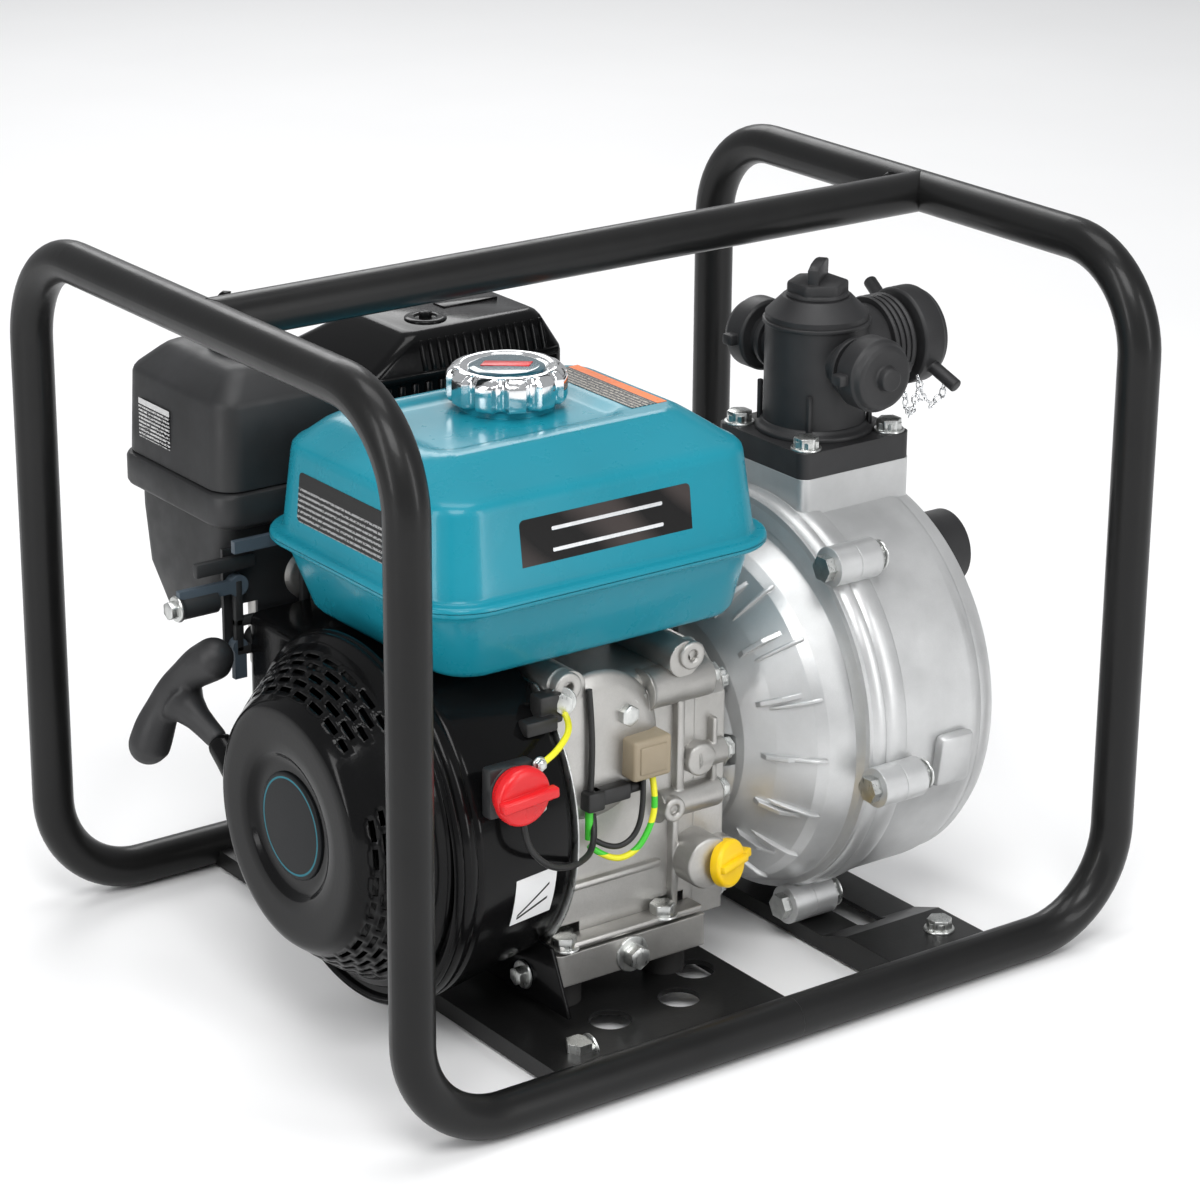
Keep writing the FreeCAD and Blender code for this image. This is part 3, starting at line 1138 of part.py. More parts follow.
def make_manifold():
    """Three-way discharge head bolted to the neck, with its caps and priming plug."""
    x = S.neck_x
    y = manifold_y
    half = S.neck_side / 2
    slab_top = manifold_low + S.manifold_plate
    plate = rounded(block(x - half, x + half, y - half, y + half, manifold_low, slab_top), 7, upright)
    tower = rod("z", (x, y, manifold_low), S.manifold_radius, S.manifold_shoulder_z - manifold_low)
    shoulder = taper("z", (x, y, S.manifold_shoulder_z), S.manifold_radius, S.manifold_radius - 10, 10)
    arms = [rod("y", (x, y - 48, S.outlet_z), 15, 96), rod("x", (x, y, S.outlet_z), 24, 58)]
    bores = [rod("y", (x, y - 49, S.outlet_z), 11, 98), rod("x", (x, y, S.outlet_z), 19, 60),
             rod("z", (x, y, manifold_low - 1), 25, S.manifold_shoulder_z - manifold_low - 4),
             rod("z", (x, y, S.manifold_shoulder_z - 10), 12, 40)]
    bolt_half = S.manifold_bolts / 2
    spots = [(x + i * bolt_half, y + j * bolt_half) for i in (-1, 1) for j in (-1, 1)]
    holes = [rod("z", (px, py, manifold_low - 1), 4.3, S.manifold_plate + 2) for px, py in spots]
    node("discharge_manifold", cut(fuse(plate, tower, shoulder, *arms), *(bores + holes)))
    bolts = [bolt("z", (px, py, manifold_low - 12), S.manifold_plate + 12) for px, py in spots]
    node("pump_bolts", group(*(bolts + casing_bolts())))
    plug_z = S.manifold_shoulder_z + 10.3
    plug = fuse(hexagon("z", (x, y, plug_z), 34, 8),
                block(x - 14, x + 14, y - 3, y + 3, plug_z + 7, plug_z + 20),
                rod("z", (x, y, plug_z - 8), 11.7, 9))
    node("priming_plug", plug)
    reach = S.side_cap_reach
    for name, side in (("outlet_cap_front", -1), ("outlet_cap_back", 1)):
        low = y - reach if side < 0 else y + reach - S.cap_depth
        hollow_start = low + 5 if side < 0 else low - 1
        cap = rod("y", (x, low, S.outlet_z), S.side_cap_r, S.cap_depth)
        room = rod("y", (x, hollow_start, S.outlet_z), 15.3, S.cap_depth - 4)
        knob = rod("y", (x, low - 5 if side < 0 else low + S.cap_depth - 1, S.outlet_z), 7, 6)
        wide = S.side_cap_r + 5
        ears = block(x - wide, x + wide, low + 4, low + 14, S.outlet_z - 4, S.outlet_z + 4)
        node(name, cut(fuse(cap, knob, ears), room))
    start = S.main_cap_x - S.cap_depth
    cap = rod("x", (start, y, S.outlet_z), S.main_cap_r, S.cap_depth)
    room = rod("x", (start - 1, y, S.outlet_z), 24.3, S.cap_depth - 5)
    peg = rod("y", (start + 10, y - S.main_cap_r - 9, S.outlet_z - 12), 4, 20)
    node("outlet_cap_main", cut(fuse(cap, peg), room))


for make in (make_frame, make_tray, make_beam, make_mounts, make_block, make_case_cover, make_head,
             make_crank, make_piston, make_flywheel, make_shroud, make_recoil, make_tank, make_air_cleaner,
             make_carburettor, make_muffler, make_electrics, make_bracket, make_casing, make_wet_end,
             make_ports, make_manifold):
    make()

doc.recompute()
faults = [thing.Name for thing in doc.Objects if "Invalid" in thing.State or "Error" in thing.State]
for thing in NODES:
    shape = thing.Shape
    if shape.isNull() or not shape.isValid() or not shape.Solids:
        faults.append(thing.Label)
if faults:
    raise RuntimeError("not built: %s" % ", ".join(faults))

os.makedirs("parts", exist_ok=True)
for thing in NODES:
    thing.Shape.exportStep("parts/%s.step" % thing.Label)
    box = thing.Shape.BoundBox
    print("%-20s %2d solid(s) %9.0f mm3  x %7.1f %7.1f  y %7.1f %7.1f  z %6.1f %6.1f" % (
        thing.Label, len(thing.Shape.Solids), thing.Shape.Volume, box.XMin, box.XMax, box.YMin, box.YMax,
        box.ZMin, box.ZMax))
print(len(NODES), "nodes")
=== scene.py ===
"""The looks of an engine-driven high-lift water pump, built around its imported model."""

import json
import math

import bmesh
import bpy
from mathutils import Matrix, Vector


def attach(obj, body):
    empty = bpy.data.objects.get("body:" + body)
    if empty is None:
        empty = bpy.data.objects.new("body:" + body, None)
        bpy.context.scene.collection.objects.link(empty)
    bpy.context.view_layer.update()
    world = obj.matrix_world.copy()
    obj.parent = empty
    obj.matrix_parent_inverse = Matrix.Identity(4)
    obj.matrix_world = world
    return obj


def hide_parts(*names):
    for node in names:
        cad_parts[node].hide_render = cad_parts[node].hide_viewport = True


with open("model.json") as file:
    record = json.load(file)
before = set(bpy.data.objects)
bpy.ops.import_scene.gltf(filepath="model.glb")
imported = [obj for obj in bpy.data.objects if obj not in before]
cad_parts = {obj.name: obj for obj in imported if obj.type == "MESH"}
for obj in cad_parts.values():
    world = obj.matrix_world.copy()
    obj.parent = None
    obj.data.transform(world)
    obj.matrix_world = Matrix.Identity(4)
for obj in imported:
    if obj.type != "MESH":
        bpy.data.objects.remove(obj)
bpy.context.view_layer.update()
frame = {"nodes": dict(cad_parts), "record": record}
X, Y = Vector((1, 0, 0)), Vector((0, 1, 0))
MM = 0.001
TURN = 2 * math.pi
TO_FRONT, TO_BACK, TO_LEFT, TO_RIGHT = (0, -1, 0), (0, 1, 0), (-1, 0, 0), (1, 0, 0)
BODY_OF = {node: body for body, nodes in frame["record"]["behaviour"]["bodies"].items() for node in nodes}


# --- Shader maths

class Signal:
    """A shader value: ordinary arithmetic on it adds Math nodes."""

    def __init__(self, finish, socket):
        self.finish = finish
        self.socket = socket

    def _maths(self, operation, first, second):
        return self.finish.node("ShaderNodeMath", {"operation": operation}, {0: first, 1: second})

    def __add__(self, other):
        return self._maths("ADD", self, other)

    def __sub__(self, other):
        return self._maths("SUBTRACT", self, other)

    def __rsub__(self, other):
        return self._maths("SUBTRACT", other, self)

    def __mul__(self, other):
        return self._maths("MULTIPLY", self, other)

    def __gt__(self, other):
        return self._maths("GREATER_THAN", self, other)

    def __lt__(self, other):
        return self._maths("LESS_THAN", self, other)

    __radd__ = __add__
    __rmul__ = __mul__


class Finish:
    """One procedural material: a Principled shader and the nodes that feed it."""

    def __init__(self, name, **constants):
        self.material = bpy.data.materials.new(name)
        self.material.use_nodes = True
        self.tree = self.material.node_tree
        self.tree.nodes.clear()
        self.shader = self.tree.nodes.new("ShaderNodeBsdfPrincipled")
        surface = self.tree.nodes.new("ShaderNodeOutputMaterial")
        self.tree.links.new(self.shader.outputs[0], surface.inputs["Surface"])
        for name_of_socket, value in constants.items():
            self.feed(name_of_socket.replace("_", " "), value)
        self.place = self.node("ShaderNodeTexCoord", out="Object")

    def feed(self, socket, value):
        """Gives one of the shader's sockets a signal or a constant."""
        self._put(self.shader.inputs[socket], value)

    def _put(self, target, value):
        if isinstance(value, Signal):
            self.tree.links.new(value.socket, target)
        elif isinstance(value, tuple) and len(value) == 3 and target.type == "RGBA":
            target.default_value = (*value, 1)
        else:
            target.default_value = value

    def node(self, kind, settings=None, sockets=None, out=0):
        """Adds a node: its settings first, then its sockets, and returns one output."""
        made = self.tree.nodes.new(kind)
        for key, value in (settings or {}).items():
            setattr(made, key, value)
        for key, value in (sockets or {}).items():
            self._put(made.inputs[key], value)
        return Signal(self, made.outputs[out])

    def noise(self, scale, detail=3, roughness=0.5, place=None):
        """Cloudy noise from about 0 to 1; the scale is in bumps per metre."""
        return self.node(
            "ShaderNodeTexNoise",
            sockets={"Vector": place or self.place, "Scale": scale, "Detail": detail, "Roughness": roughness},
            out="Fac",)

    def cells(self, scale, place=None):
        """Distance to the nearest of a scatter of points."""
        return self.node(
            "ShaderNodeTexVoronoi", sockets={"Vector": place or self.place, "Scale": scale}, out="Distance")

    def spread(self, signal, low, high, start=0.3, end=0.7):
        """Maps a signal that runs from start to end onto low to high."""
        return self.node(
            "ShaderNodeMapRange",
            sockets={"Value": signal, "From Min": start, "From Max": end, "To Min": low, "To Max": high},)

    def blend(self, mask, below, above):
        """Mixes two colours by a mask."""
        made = self.tree.nodes.new("ShaderNodeMix")
        made.data_type = "RGBA"
        self._put(made.inputs[0], mask)
        self._put(made.inputs[6], below)
        self._put(made.inputs[7], above)
        return Signal(self, made.outputs[2])

    def relief(self, height, distance, strength=1.0, soft_edge=0.0):
        """Feeds a height to the normal, over edges softened by a small radius."""
        sockets = {"Height": height, "Distance": distance, "Strength": strength}
        if soft_edge:
            sockets["Normal"] = self.node("ShaderNodeBevel", {"samples": 4}, {"Radius": soft_edge})
        self.feed("Normal", self.node("ShaderNodeBump", sockets=sockets))

    def axes(self):
        """The three Object coordinates as signals."""
        parts = self.node("ShaderNodeSeparateXYZ", sockets={0: self.place}, out="X")
        return [Signal(self, parts.socket.node.outputs[axis]) for axis in "XYZ"]


def enamel(name, deep, light, roughness, coat=1.0, peel=0.00004, edge=0.0008, shine=0.5):
    """Sprayed gloss paint: slight orange peel, faint colour drift and dust in the gloss."""
    f = Finish(name, Coat_Weight=coat, Coat_Roughness=0.06, Specular_IOR_Level=shine)
    drift = f.noise(9, 4)
    f.feed("Base Color", f.blend(f.spread(drift, 0, 1), deep, light))
    f.feed("Roughness", f.spread(f.noise(60, 5, 0.6), roughness - 0.03, roughness + 0.05))
    f.relief(f.noise(420, 2), peel, soft_edge=edge)
    return f.material


def cast_metal(name, deep, light, roughness, grain=700, depth=0.00012, metal=0.85, edge=0.0012):
    """Cast or shot-blasted metal: fine grain, soft stains and a few pores."""
    f = Finish(name, Metallic=metal)
    stain = f.noise(14, 5, 0.6)
    fine = f.noise(grain, 4, 0.7)
    colour = f.blend(f.spread(stain, 0, 1), deep, light)
    f.feed("Base Color", f.blend(f.spread(fine, 0, 0.25), colour, deep))
    f.feed("Roughness", f.spread(f.noise(35, 4), roughness - 0.06, roughness + 0.08))
    pores = f.spread(f.cells(grain * 0.45), -0.6, 0, 0.0, 0.16)
    f.relief(fine + pores, depth, soft_edge=edge)
    return f.material


def moulded(name, deep, light, roughness, grain=1400, depth=0.00005, edge=0.0006):
    """Moulded plastic or rubber with a fine spark-eroded grain."""
    f = Finish(name, Specular_IOR_Level=0.45)
    f.feed("Base Color", f.blend(f.spread(f.noise(24, 4), 0, 1), deep, light))
    f.feed("Roughness", f.spread(f.noise(80, 4), roughness - 0.05, roughness + 0.07))
    f.relief(f.noise(grain, 3, 0.6), depth, soft_edge=edge)
    return f.material


def plated(name, deep, light, roughness, edge=0.0003, scratches=900):
    """Plated or machined metal: drifting tone with fine drag marks."""
    f = Finish(name, Metallic=1.0)
    stretched = f.node("ShaderNodeMapping", sockets={"Vector": f.place, "Scale": (1, 1, 0.08)})
    marks = f.noise(scratches, 3, 0.6, place=stretched)
    f.feed("Base Color", f.blend(f.spread(f.noise(120, 4), 0, 1), deep, light))
    f.feed("Roughness", f.spread(marks, roughness - 0.06, roughness + 0.1))
    f.relief(marks, 0.00002, soft_edge=edge)
    return f.material


FINISH = {
    "frame_enamel": enamel(
        "frame_enamel", (0.007, 0.007, 0.007), (0.011, 0.011, 0.011), 0.33, coat=0.08, shine=0.2),
    "bright_zinc": plated("bright_zinc", (0.50, 0.51, 0.50), (0.70, 0.71, 0.69), 0.30),
    "mount_rubber": moulded("mount_rubber", (0.010, 0.010, 0.010), (0.022, 0.021, 0.020), 0.75, grain=900),
    "engine_casting": cast_metal("engine_casting", (0.36, 0.352, 0.335), (0.54, 0.53, 0.51), 0.38),
    "bearing_steel": plated("bearing_steel", (0.42, 0.42, 0.43), (0.62, 0.62, 0.63), 0.22),
    "black_enamel": enamel(
        "black_enamel", (0.003, 0.003, 0.0032), (0.005, 0.005, 0.0052), 0.17, coat=0.1, shine=0.1),
    "soot_steel": cast_metal(
        "soot_steel", (0.05, 0.04, 0.032), (0.16, 0.13, 0.11), 0.6, grain=300, metal=0.7),
    "pump_casting": cast_metal(
        "pump_casting", (0.47, 0.475, 0.475), (0.64, 0.645, 0.645), 0.36, grain=1100, depth=0.00006, metal=0.6
    ),
    "manifold_plastic": moulded("manifold_plastic", (0.012, 0.012, 0.013), (0.020, 0.020, 0.021), 0.5),
    "filter_plastic": moulded("filter_plastic", (0.015, 0.0155, 0.016), (0.025, 0.0255, 0.027), 0.48),
    "grip_plastic": moulded(
        "grip_plastic", (0.014, 0.014, 0.015), (0.024, 0.024, 0.025), 0.5, grain=800, depth=0.0001),
    "foam": moulded("foam", (0.03, 0.03, 0.032), (0.08, 0.08, 0.085), 0.95, grain=500, depth=0.0008),
    "rope": moulded("rope", (0.55, 0.53, 0.48), (0.75, 0.73, 0.68), 0.9, grain=1500, depth=0.0004),
    "tank_enamel": enamel(
        "tank_enamel", (0.008, 0.205, 0.275), (0.011, 0.235, 0.315), 0.28, coat=0.14, peel=0.00001, shine=0.22
    ),
    "cap_chrome": plated("cap_chrome", (0.78, 0.79, 0.80), (0.88, 0.89, 0.90), 0.08, scratches=400),
    "switch_red": moulded("switch_red", (0.62, 0.010, 0.014), (0.78, 0.016, 0.020), 0.30, depth=0.00002),
    "stick_yellow": moulded("stick_yellow", (0.86, 0.52, 0.0), (0.95, 0.62, 0.005), 0.32, depth=0.00002),
    "lever_slate": moulded("lever_slate", (0.055, 0.075, 0.095), (0.085, 0.11, 0.135), 0.45),
    "alert_beige": moulded("alert_beige", (0.27, 0.22, 0.15), (0.36, 0.30, 0.21), 0.4),
    "wire_cover": moulded("wire_cover", (0.010, 0.010, 0.010), (0.018, 0.018, 0.018), 0.45),}


# --- Mesh making
# Shapes are made in millimetres and become metres when they turn into pieces.

def add(whole, part, matrix=Matrix()):
    """Adds one bmesh, moved by a matrix, to another."""
    bmesh.ops.transform(part, matrix=matrix, verts=part.verts)
    carrier = bpy.data.meshes.new("carrier")
    part.to_mesh(carrier)
    part.free()
    whole.from_mesh(carrier)
    bpy.data.meshes.remove(carrier)


def assembled(*parts):
    """One bmesh from several (bmesh, matrix) pairs."""
    whole = bmesh.new()
    for part, matrix in parts:
        add(whole, part, matrix)
    return whole


def at(x, y, z, along=None, turn=0.0):
    """A placement whose local Z points along a direction."""
    spin = Matrix.Rotation(math.radians(turn), 4, "Z")
    if along is None:
        return Matrix.Translation((x, y, z)) @ spin
    direction = Vector(along).normalized()
    return Matrix.Translation((x, y, z)) @ direction.to_track_quat("Z", "Y").to_matrix().to_4x4() @ spin


# These stand a prism up: its (x, y) become (y, z) or (x, z).
EDGE_ON_X = Matrix(((0, 0, 1, 0), (1, 0, 0, 0), (0, 1, 0, 0), (0, 0, 0, 1)))
EDGE_ON_Y = Matrix(((1, 0, 0, 0), (0, 0, 1, 0), (0, 1, 0, 0), (0, 0, 0, 1)))


def piece_from(shape, name, body, slot, sharp=32, finish=None, stands_for=()):
    """Turns a bmesh into a finished piece that rides on a body."""
    bmesh.ops.scale(shape, vec=(MM, MM, MM), verts=shape.verts)
    mesh = bpy.data.meshes.new(name)
    shape.to_mesh(mesh)
    shape.free()
    mesh.materials.append(finish or FINISH[slot])
    mesh.shade_smooth()
    mesh.set_sharp_from_angle(angle=math.radians(sharp))
    piece = bpy.data.objects.new(name, mesh)
    bpy.context.scene.collection.objects.link(piece)
    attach(piece, body)
    if stands_for:
        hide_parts(*stands_for)
    return piece


def soften(shape, width, edges=None, segments=2, angle=30):
    """Rounds the hard edges of a shape."""
    hard = edges or [
        e for e in shape.edges if len(e.link_faces) == 2 and e.calc_face_angle() > math.radians(angle)]
    bmesh.ops.bevel(
        shape, geom=hard, offset=width, segments=segments, profile=0.5, affect="EDGES", clamp_overlap=True,
        material=-1,)
    return shape


def pressed(levels, arc=7):
    """A form pressed through rounded rectangles: (height, left, right, front, back, corner) each."""
    shape = bmesh.new()
    bmesh.ops.create_circle(shape, cap_ends=True, segments=4 * (arc + 1), radius=1)
    face = next(iter(shape.faces))
    signs = ((1, 1), (-1, 1), (-1, -1), (1, -1))
    pattern = [
        (signs[quarter], TURN / 4 * (quarter + step / arc)) for quarter in range(4) for step in range(arc + 1)
    ]

    def settle(rim, level):
        height, left, right, front, back, corner = level
        for vert, ((side, end), angle) in zip(rim.verts, pattern):
            vert.co = (
                (left + right) / 2 + side * ((right - left) / 2 - corner) + corner * math.cos(angle),
                (front + back) / 2 + end * ((back - front) / 2 - corner) + corner * math.sin(angle), height,)

    settle(face, levels[0])
    for number, level in enumerate(levels[1:]):
        grown = bmesh.ops.extrude_face_region(shape, geom=[face])
        fresh = [item for item in grown["geom"] if isinstance(item, bmesh.types.BMFace)][0]
        if number:
            shape.faces.remove(face)
        face = fresh
        settle(face, level)
    shape.normal_update()
    bmesh.ops.recalc_face_normals(shape, faces=shape.faces)
    return shape


def lathe(profile, steps=64, ends=True):
    """Spins (height, radius) points about Z. The first and last may lie on the axis."""
    shape = bmesh.new()
    verts = [shape.verts.new((radius, 0, height)) for height, radius in profile]
    edges = [shape.edges.new(pair) for pair in zip(verts, verts[1:])]
    bmesh.ops.spin(
        shape, geom=verts + edges, cent=(0, 0, 0), axis=(0, 0, 1), angle=TURN, steps=steps, use_merge=True)
    bmesh.ops.remove_doubles(shape, verts=shape.verts, dist=0.0005)
    if ends:
        bmesh.ops.holes_fill(shape, edges=shape.edges, sides=0)
    bmesh.ops.recalc_face_normals(shape, faces=shape.faces)
    return shape


def rounded_lathe(profile, radius=1.0, steps=64, segments=3):
    """A lathe whose profile corners are rounded."""
    line = bmesh.new()
    verts = [line.verts.new((r, 0, h)) for h, r in profile]
    for pair in zip(verts, verts[1:]):
        line.edges.new(pair)
    bmesh.ops.bevel(
        line, geom=verts[1:-1], offset=radius, segments=segments, profile=0.5, affect="VERTICES",
        clamp_overlap=True, material=-1,)
    bmesh.ops.spin(
        line, geom=line.verts[:] + line.edges[:], cent=(0, 0, 0), axis=(0, 0, 1), angle=TURN, steps=steps,
        use_merge=True,)
    bmesh.ops.remove_doubles(line, verts=line.verts, dist=0.0005)
    bmesh.ops.recalc_face_normals(line, faces=line.faces)
    return line


def cuboid(width, depth, height, edge=0.8, segments=2):
    """A box standing on its centre, with rounded edges."""
    shape = bmesh.new()
    bmesh.ops.create_cube(shape, size=1, matrix=Matrix.Diagonal((width, depth, height, 1)))
    bmesh.ops.translate(shape, vec=(0, 0, height / 2), verts=shape.verts)
    if edge:
        soften(shape, edge, segments=segments)
    return shape


def prism(corners, height, edge=0.5):
    """A flat polygon in X and Y raised along Z, with rounded edges."""
    shape = bmesh.new()
    face = shape.faces.new([shape.verts.new((x, y, 0)) for x, y in corners])
    grown = bmesh.ops.extrude_face_region(shape, geom=[face])
    moved = [item for item in grown["geom"] if isinstance(item, bmesh.types.BMVert)]
    bmesh.ops.translate(shape, vec=(0, 0, height), verts=moved)
    bmesh.ops.recalc_face_normals(shape, faces=shape.faces)
    if edge:
        soften(shape, edge)
    return shape


def hex_head(flats, height, washer=0.0, washer_height=1.4):
    """A hexagon bolt head with a chamfered crown, on a flange or washer."""
    shape = bmesh.new()
    bmesh.ops.create_circle(shape, cap_ends=True, segments=6, radius=flats / math.sqrt(3))
    grown = bmesh.ops.extrude_face_region(shape, geom=shape.faces[:])
    top = [item for item in grown["geom"] if isinstance(item, bmesh.types.BMVert)]
    bmesh.ops.translate(shape, vec=(0, 0, height + washer_height), verts=top)
    bmesh.ops.recalc_face_normals(shape, faces=shape.faces)
    soften(shape, flats * 0.06)
    crown = lathe(
        [
            (height + washer_height - 0.2, 0), (height + washer_height + 0.25, flats * 0.28),
            (height + washer_height - 0.3, flats * 0.44)],
        steps=24, ends=False)
    add(shape, crown)
    if washer:
        add(
            shape,
            rounded_lathe(
                [(0, 0), (0, washer), (washer_height, washer - 0.5), (washer_height + 0.2, 0)], radius=0.35,
                steps=32))
    return shape


def pipe(points, radius, order=3, around=6, along=8):
    """A round bar along a smooth line through control points."""
    curve = bpy.data.curves.new("line", "CURVE")
    curve.dimensions = "3D"
    curve.bevel_depth = radius
    curve.bevel_resolution = around
    curve.resolution_u = along
    curve.use_fill_caps = True
    spline = curve.splines.new("NURBS")
    spline.points.add(len(points) - 1)
    for point, place in zip(spline.points, points):
        point.co = (*place, 1)
    spline.order_u = order
    spline.use_endpoint_u = True
    carrier = bpy.data.objects.new("line", curve)
    mesh = bpy.data.meshes.new_from_object(carrier)
    shape = bmesh.new()
    shape.from_mesh(mesh)
    bpy.data.objects.remove(carrier)
    bpy.data.meshes.remove(mesh)
    bpy.data.curves.remove(curve)
    return shape


SLOT_OF = {part["node"]: part["material_slot"] for part in frame["record"]["subparts"]}


def stand_for(node, name, shape, sharp=32, finish=None, slot=None):
    """A new piece that replaces one CAD node."""
    return piece_from(shape, name, BODY_OF[node], slot or SLOT_OF[node], sharp, finish, (node,))


def extra(name, slot, *parts, body="frame", **how):
    """A new piece made of (shape, placement) pairs."""
    return piece_from(assembled(*parts), name, body, slot, **how)


def replaced(node, name, *parts, **how):
    """A piece made of (shape, placement) pairs that replaces one CAD node."""
    return stand_for(node, name, assembled(*parts), **how)


def smoothstep(value):
    value = min(1.0, max(0.0, value))
    return value * value * (3 - 2 * value)


# --- Finishes of the CAD nodes

for node, part in frame["nodes"].items():
    part.data.materials[0] = FINISH[SLOT_OF[node]]


# --- Fuel tank

FILLER = (-60, -10)         # x and y of the fuel cap's axis
TANK = {"left": -187, "right": 42, "front": -132, "back": 54, "lip_z": 280, "top": 350, "corner": 30}


def tank_ring(height, left, right, front, back, corner):
    """One outline of the tank: how far each side lies inside the body's own outline."""
    return (
        height, TANK["left"] + left, TANK["right"] - right, TANK["front"] + front, TANK["back"] - back, corner
    )


def even_ring(height, inset):
    return tank_ring(height, inset, inset, inset, inset, TANK["corner"] - inset)


def dished(shape):
    """Presses the shallow panel round the filler into the tank's top."""
    for axis, start, end in ((X, -160, 20), (Y, -84, 36)):
        for step in range(start, end, 4):
            cut = [
                f for f in shape.faces if f.normal.z > 0.99 and f.calc_center_median().z > TANK["top"] - 0.5]
            rims = dict.fromkeys(e for f in cut for e in f.edges)
            geom = cut + list(rims) + list(dict.fromkeys(v for f in cut for v in f.verts))
            bmesh.ops.bisect_plane(shape, geom=geom, plane_co=axis * step, plane_no=axis, dist=0.0001)
    left, right, front, back, corner = -148, -14, -70, 24, 16
    for vert in shape.verts:
        if vert.co.z > TANK["top"] - 0.2:
            over_x = abs(vert.co.x - (left + right) / 2) - (right - left) / 2 + corner
            over_y = abs(vert.co.y - (front + back) / 2) - (back - front) / 2 + corner
            outside = math.hypot(max(over_x, 0), max(over_y, 0)) + min(max(over_x, over_y), 0) - corner
            vert.co.z -= 3.4 * smoothstep(-outside / 7)


def fuel_tank():
    lip, upper = TANK["lip_z"], []
    for inset, rise in ((-8, 0.2), (-7.8, 1.5), (-6.8, 2.6), (-5, 3.1), (-2.6, 2.9), (-0.9, 3.8), (0, 5.6)):
        upper.append(even_ring(lip + rise, inset))
    upper += [
        tank_ring(330, 4.2, 4.2, 6.4, 4.6, 28), tank_ring(333.4, 5.2, 5.2, 7.6, 5.4, 27),
        tank_ring(336.2, 7.6, 7.6, 10.6, 7.4, 26), tank_ring(338, 11, 11, 15, 9.6, 25),
        tank_ring(345.4, 21.5, 18.5, 41, 16.6, 21), tank_ring(348.2, 26.5, 22.5, 47.5, 21, 19),
        tank_ring(349.6, 30.5, 25.5, 51.5, 24.5, 17), tank_ring(350, 34, 28, 55, 27.5, 15),]
    shell = pressed(upper, arc=9)
    dished(shell)
    add(
        shell, rounded_lathe([(0, 24.4), (0, 28), (8.5, 28), (8.5, 24.4)], radius=0.8, steps=48),
        at(*FILLER, 342))
    stand_for("tank_upper", "tank_upper_pressing", shell, sharp=40)
    lower = [tank_ring(231, 24, 14, 22, 22, 20)]
    for height, side, right, ends, corner in (
        (231.6, 20.5, 11.5, 18.5, 22), (233.4, 17.4, 9.4, 15.4, 23), (237, 14.2, 7.4, 12.2, 25),
        (270, 2.6, 1.8, 2.6, 30), (273.4, 1.6, 1.2, 1.6, 30)):
        lower.append(tank_ring(height, side, right, ends, ends, corner))
    for inset, rise in ((0.6, -5.0), (-2.4, -4.0), (-5.4, -3.7), (-7.0, -3.0), (-8.0, -1.8), (-8.0, -0.2)):
        lower.append(even_ring(lip + rise, inset))
    stand_for("tank_lower", "tank_lower_pressing", pressed(lower, arc=9), sharp=40)


def fuel_cap():
    """A chromed cap with eleven finger scallops and a dark blue disc let into its top."""
    steps, scallops = 132, 11
    rim = rounded_lathe(
        [(0.6, 26), (0.6, 33), (3, 35.4), (17, 35.4), (21, 31), (21.6, 26.5), (19.4, 23.5), (19.2, 0)],
        radius=1.6, steps=steps, segments=4)
    for vert in rim.verts:
        radius = math.hypot(vert.co.x, vert.co.y)
        if radius > 28:
            phase = math.atan2(vert.co.y, vert.co.x) * scallops
            bite = smoothstep((math.cos(phase) - 0.05) / 0.75) * 4.2 * smoothstep((radius - 28) / 5)
            bite *= smoothstep((22.5 - vert.co.z) / 3)
            vert.co.x *= (radius - bite) / radius
            vert.co.y *= (radius - bite) / radius
    replaced("fuel_cap", "fuel_cap_chrome", (rim, at(*FILLER, TANK["top"])), sharp=50)
    disc = rounded_lathe([(0, 0), (0, 22.6), (1.2, 22.6), (2.2, 19), (2.4, 0)], radius=0.7, steps=64)
    glass = Finish("cap_disc", Roughness=0.12, Coat_Weight=1.0, Specular_IOR_Level=0.6)
    glass.feed(
        "Base Color",
        glass.blend(glass.spread(glass.noise(70), 0, 1), (0.004, 0.05, 0.075), (0.008, 0.085, 0.12)))
    extra("fuel_cap_disc", "cap_chrome", (disc, at(*FILLER, 369.2)), body="fuel_cap", finish=glass.material)
    emblem = prism([(-15, -4.5), (13, -4.5), (15, 4.5), (-13, 4.5)], 0.5, edge=0.15)
    extra("fuel_cap_emblem", "switch_red", (emblem, at(*FILLER, 371.3, turn=-38)), body="fuel_cap")


fuel_tank()
fuel_cap()


# --- Labels: plain printed panels without any words; the front panel carries painted sheen bands

def wall_skin(name, corners, depth_at, finish, side, corner=3.0):
    """A thin panel laid on a drafted wall; corners are (across, height) pairs, depth_at gives the wall."""
    shape = bmesh.new()
    verts = []
    for across, height in corners:
        verts.append(shape.verts.new((across, 0, height)))
    face = shape.faces.new(verts)
    bmesh.ops.bevel(shape, geom=verts, offset=corner, segments=5, profile=0.5, affect="VERTICES", material=-1)
    for vert in shape.verts:
        across, height = vert.co.x, vert.co.z
        wall = depth_at(height)
        vert.co = (across, wall, height) if side == "front" else (wall, across, height)
    outward = Vector((0, -1, 0)) if side == "front" else Vector((-1, 0, 0))
    shape.normal_update()
    for face in shape.faces:
        if face.normal.dot(outward) < 0:
            face.normal_flip()
    grown = bmesh.ops.extrude_face_region(shape, geom=shape.faces[:])
    moved = [item for item in grown["geom"] if isinstance(item, bmesh.types.BMVert)]
    bmesh.ops.translate(shape, vec=outward * 0.25, verts=moved)
    bmesh.ops.recalc_face_normals(shape, faces=shape.faces)
    return piece_from(shape, name, "frame", "tank_enamel", finish=finish)


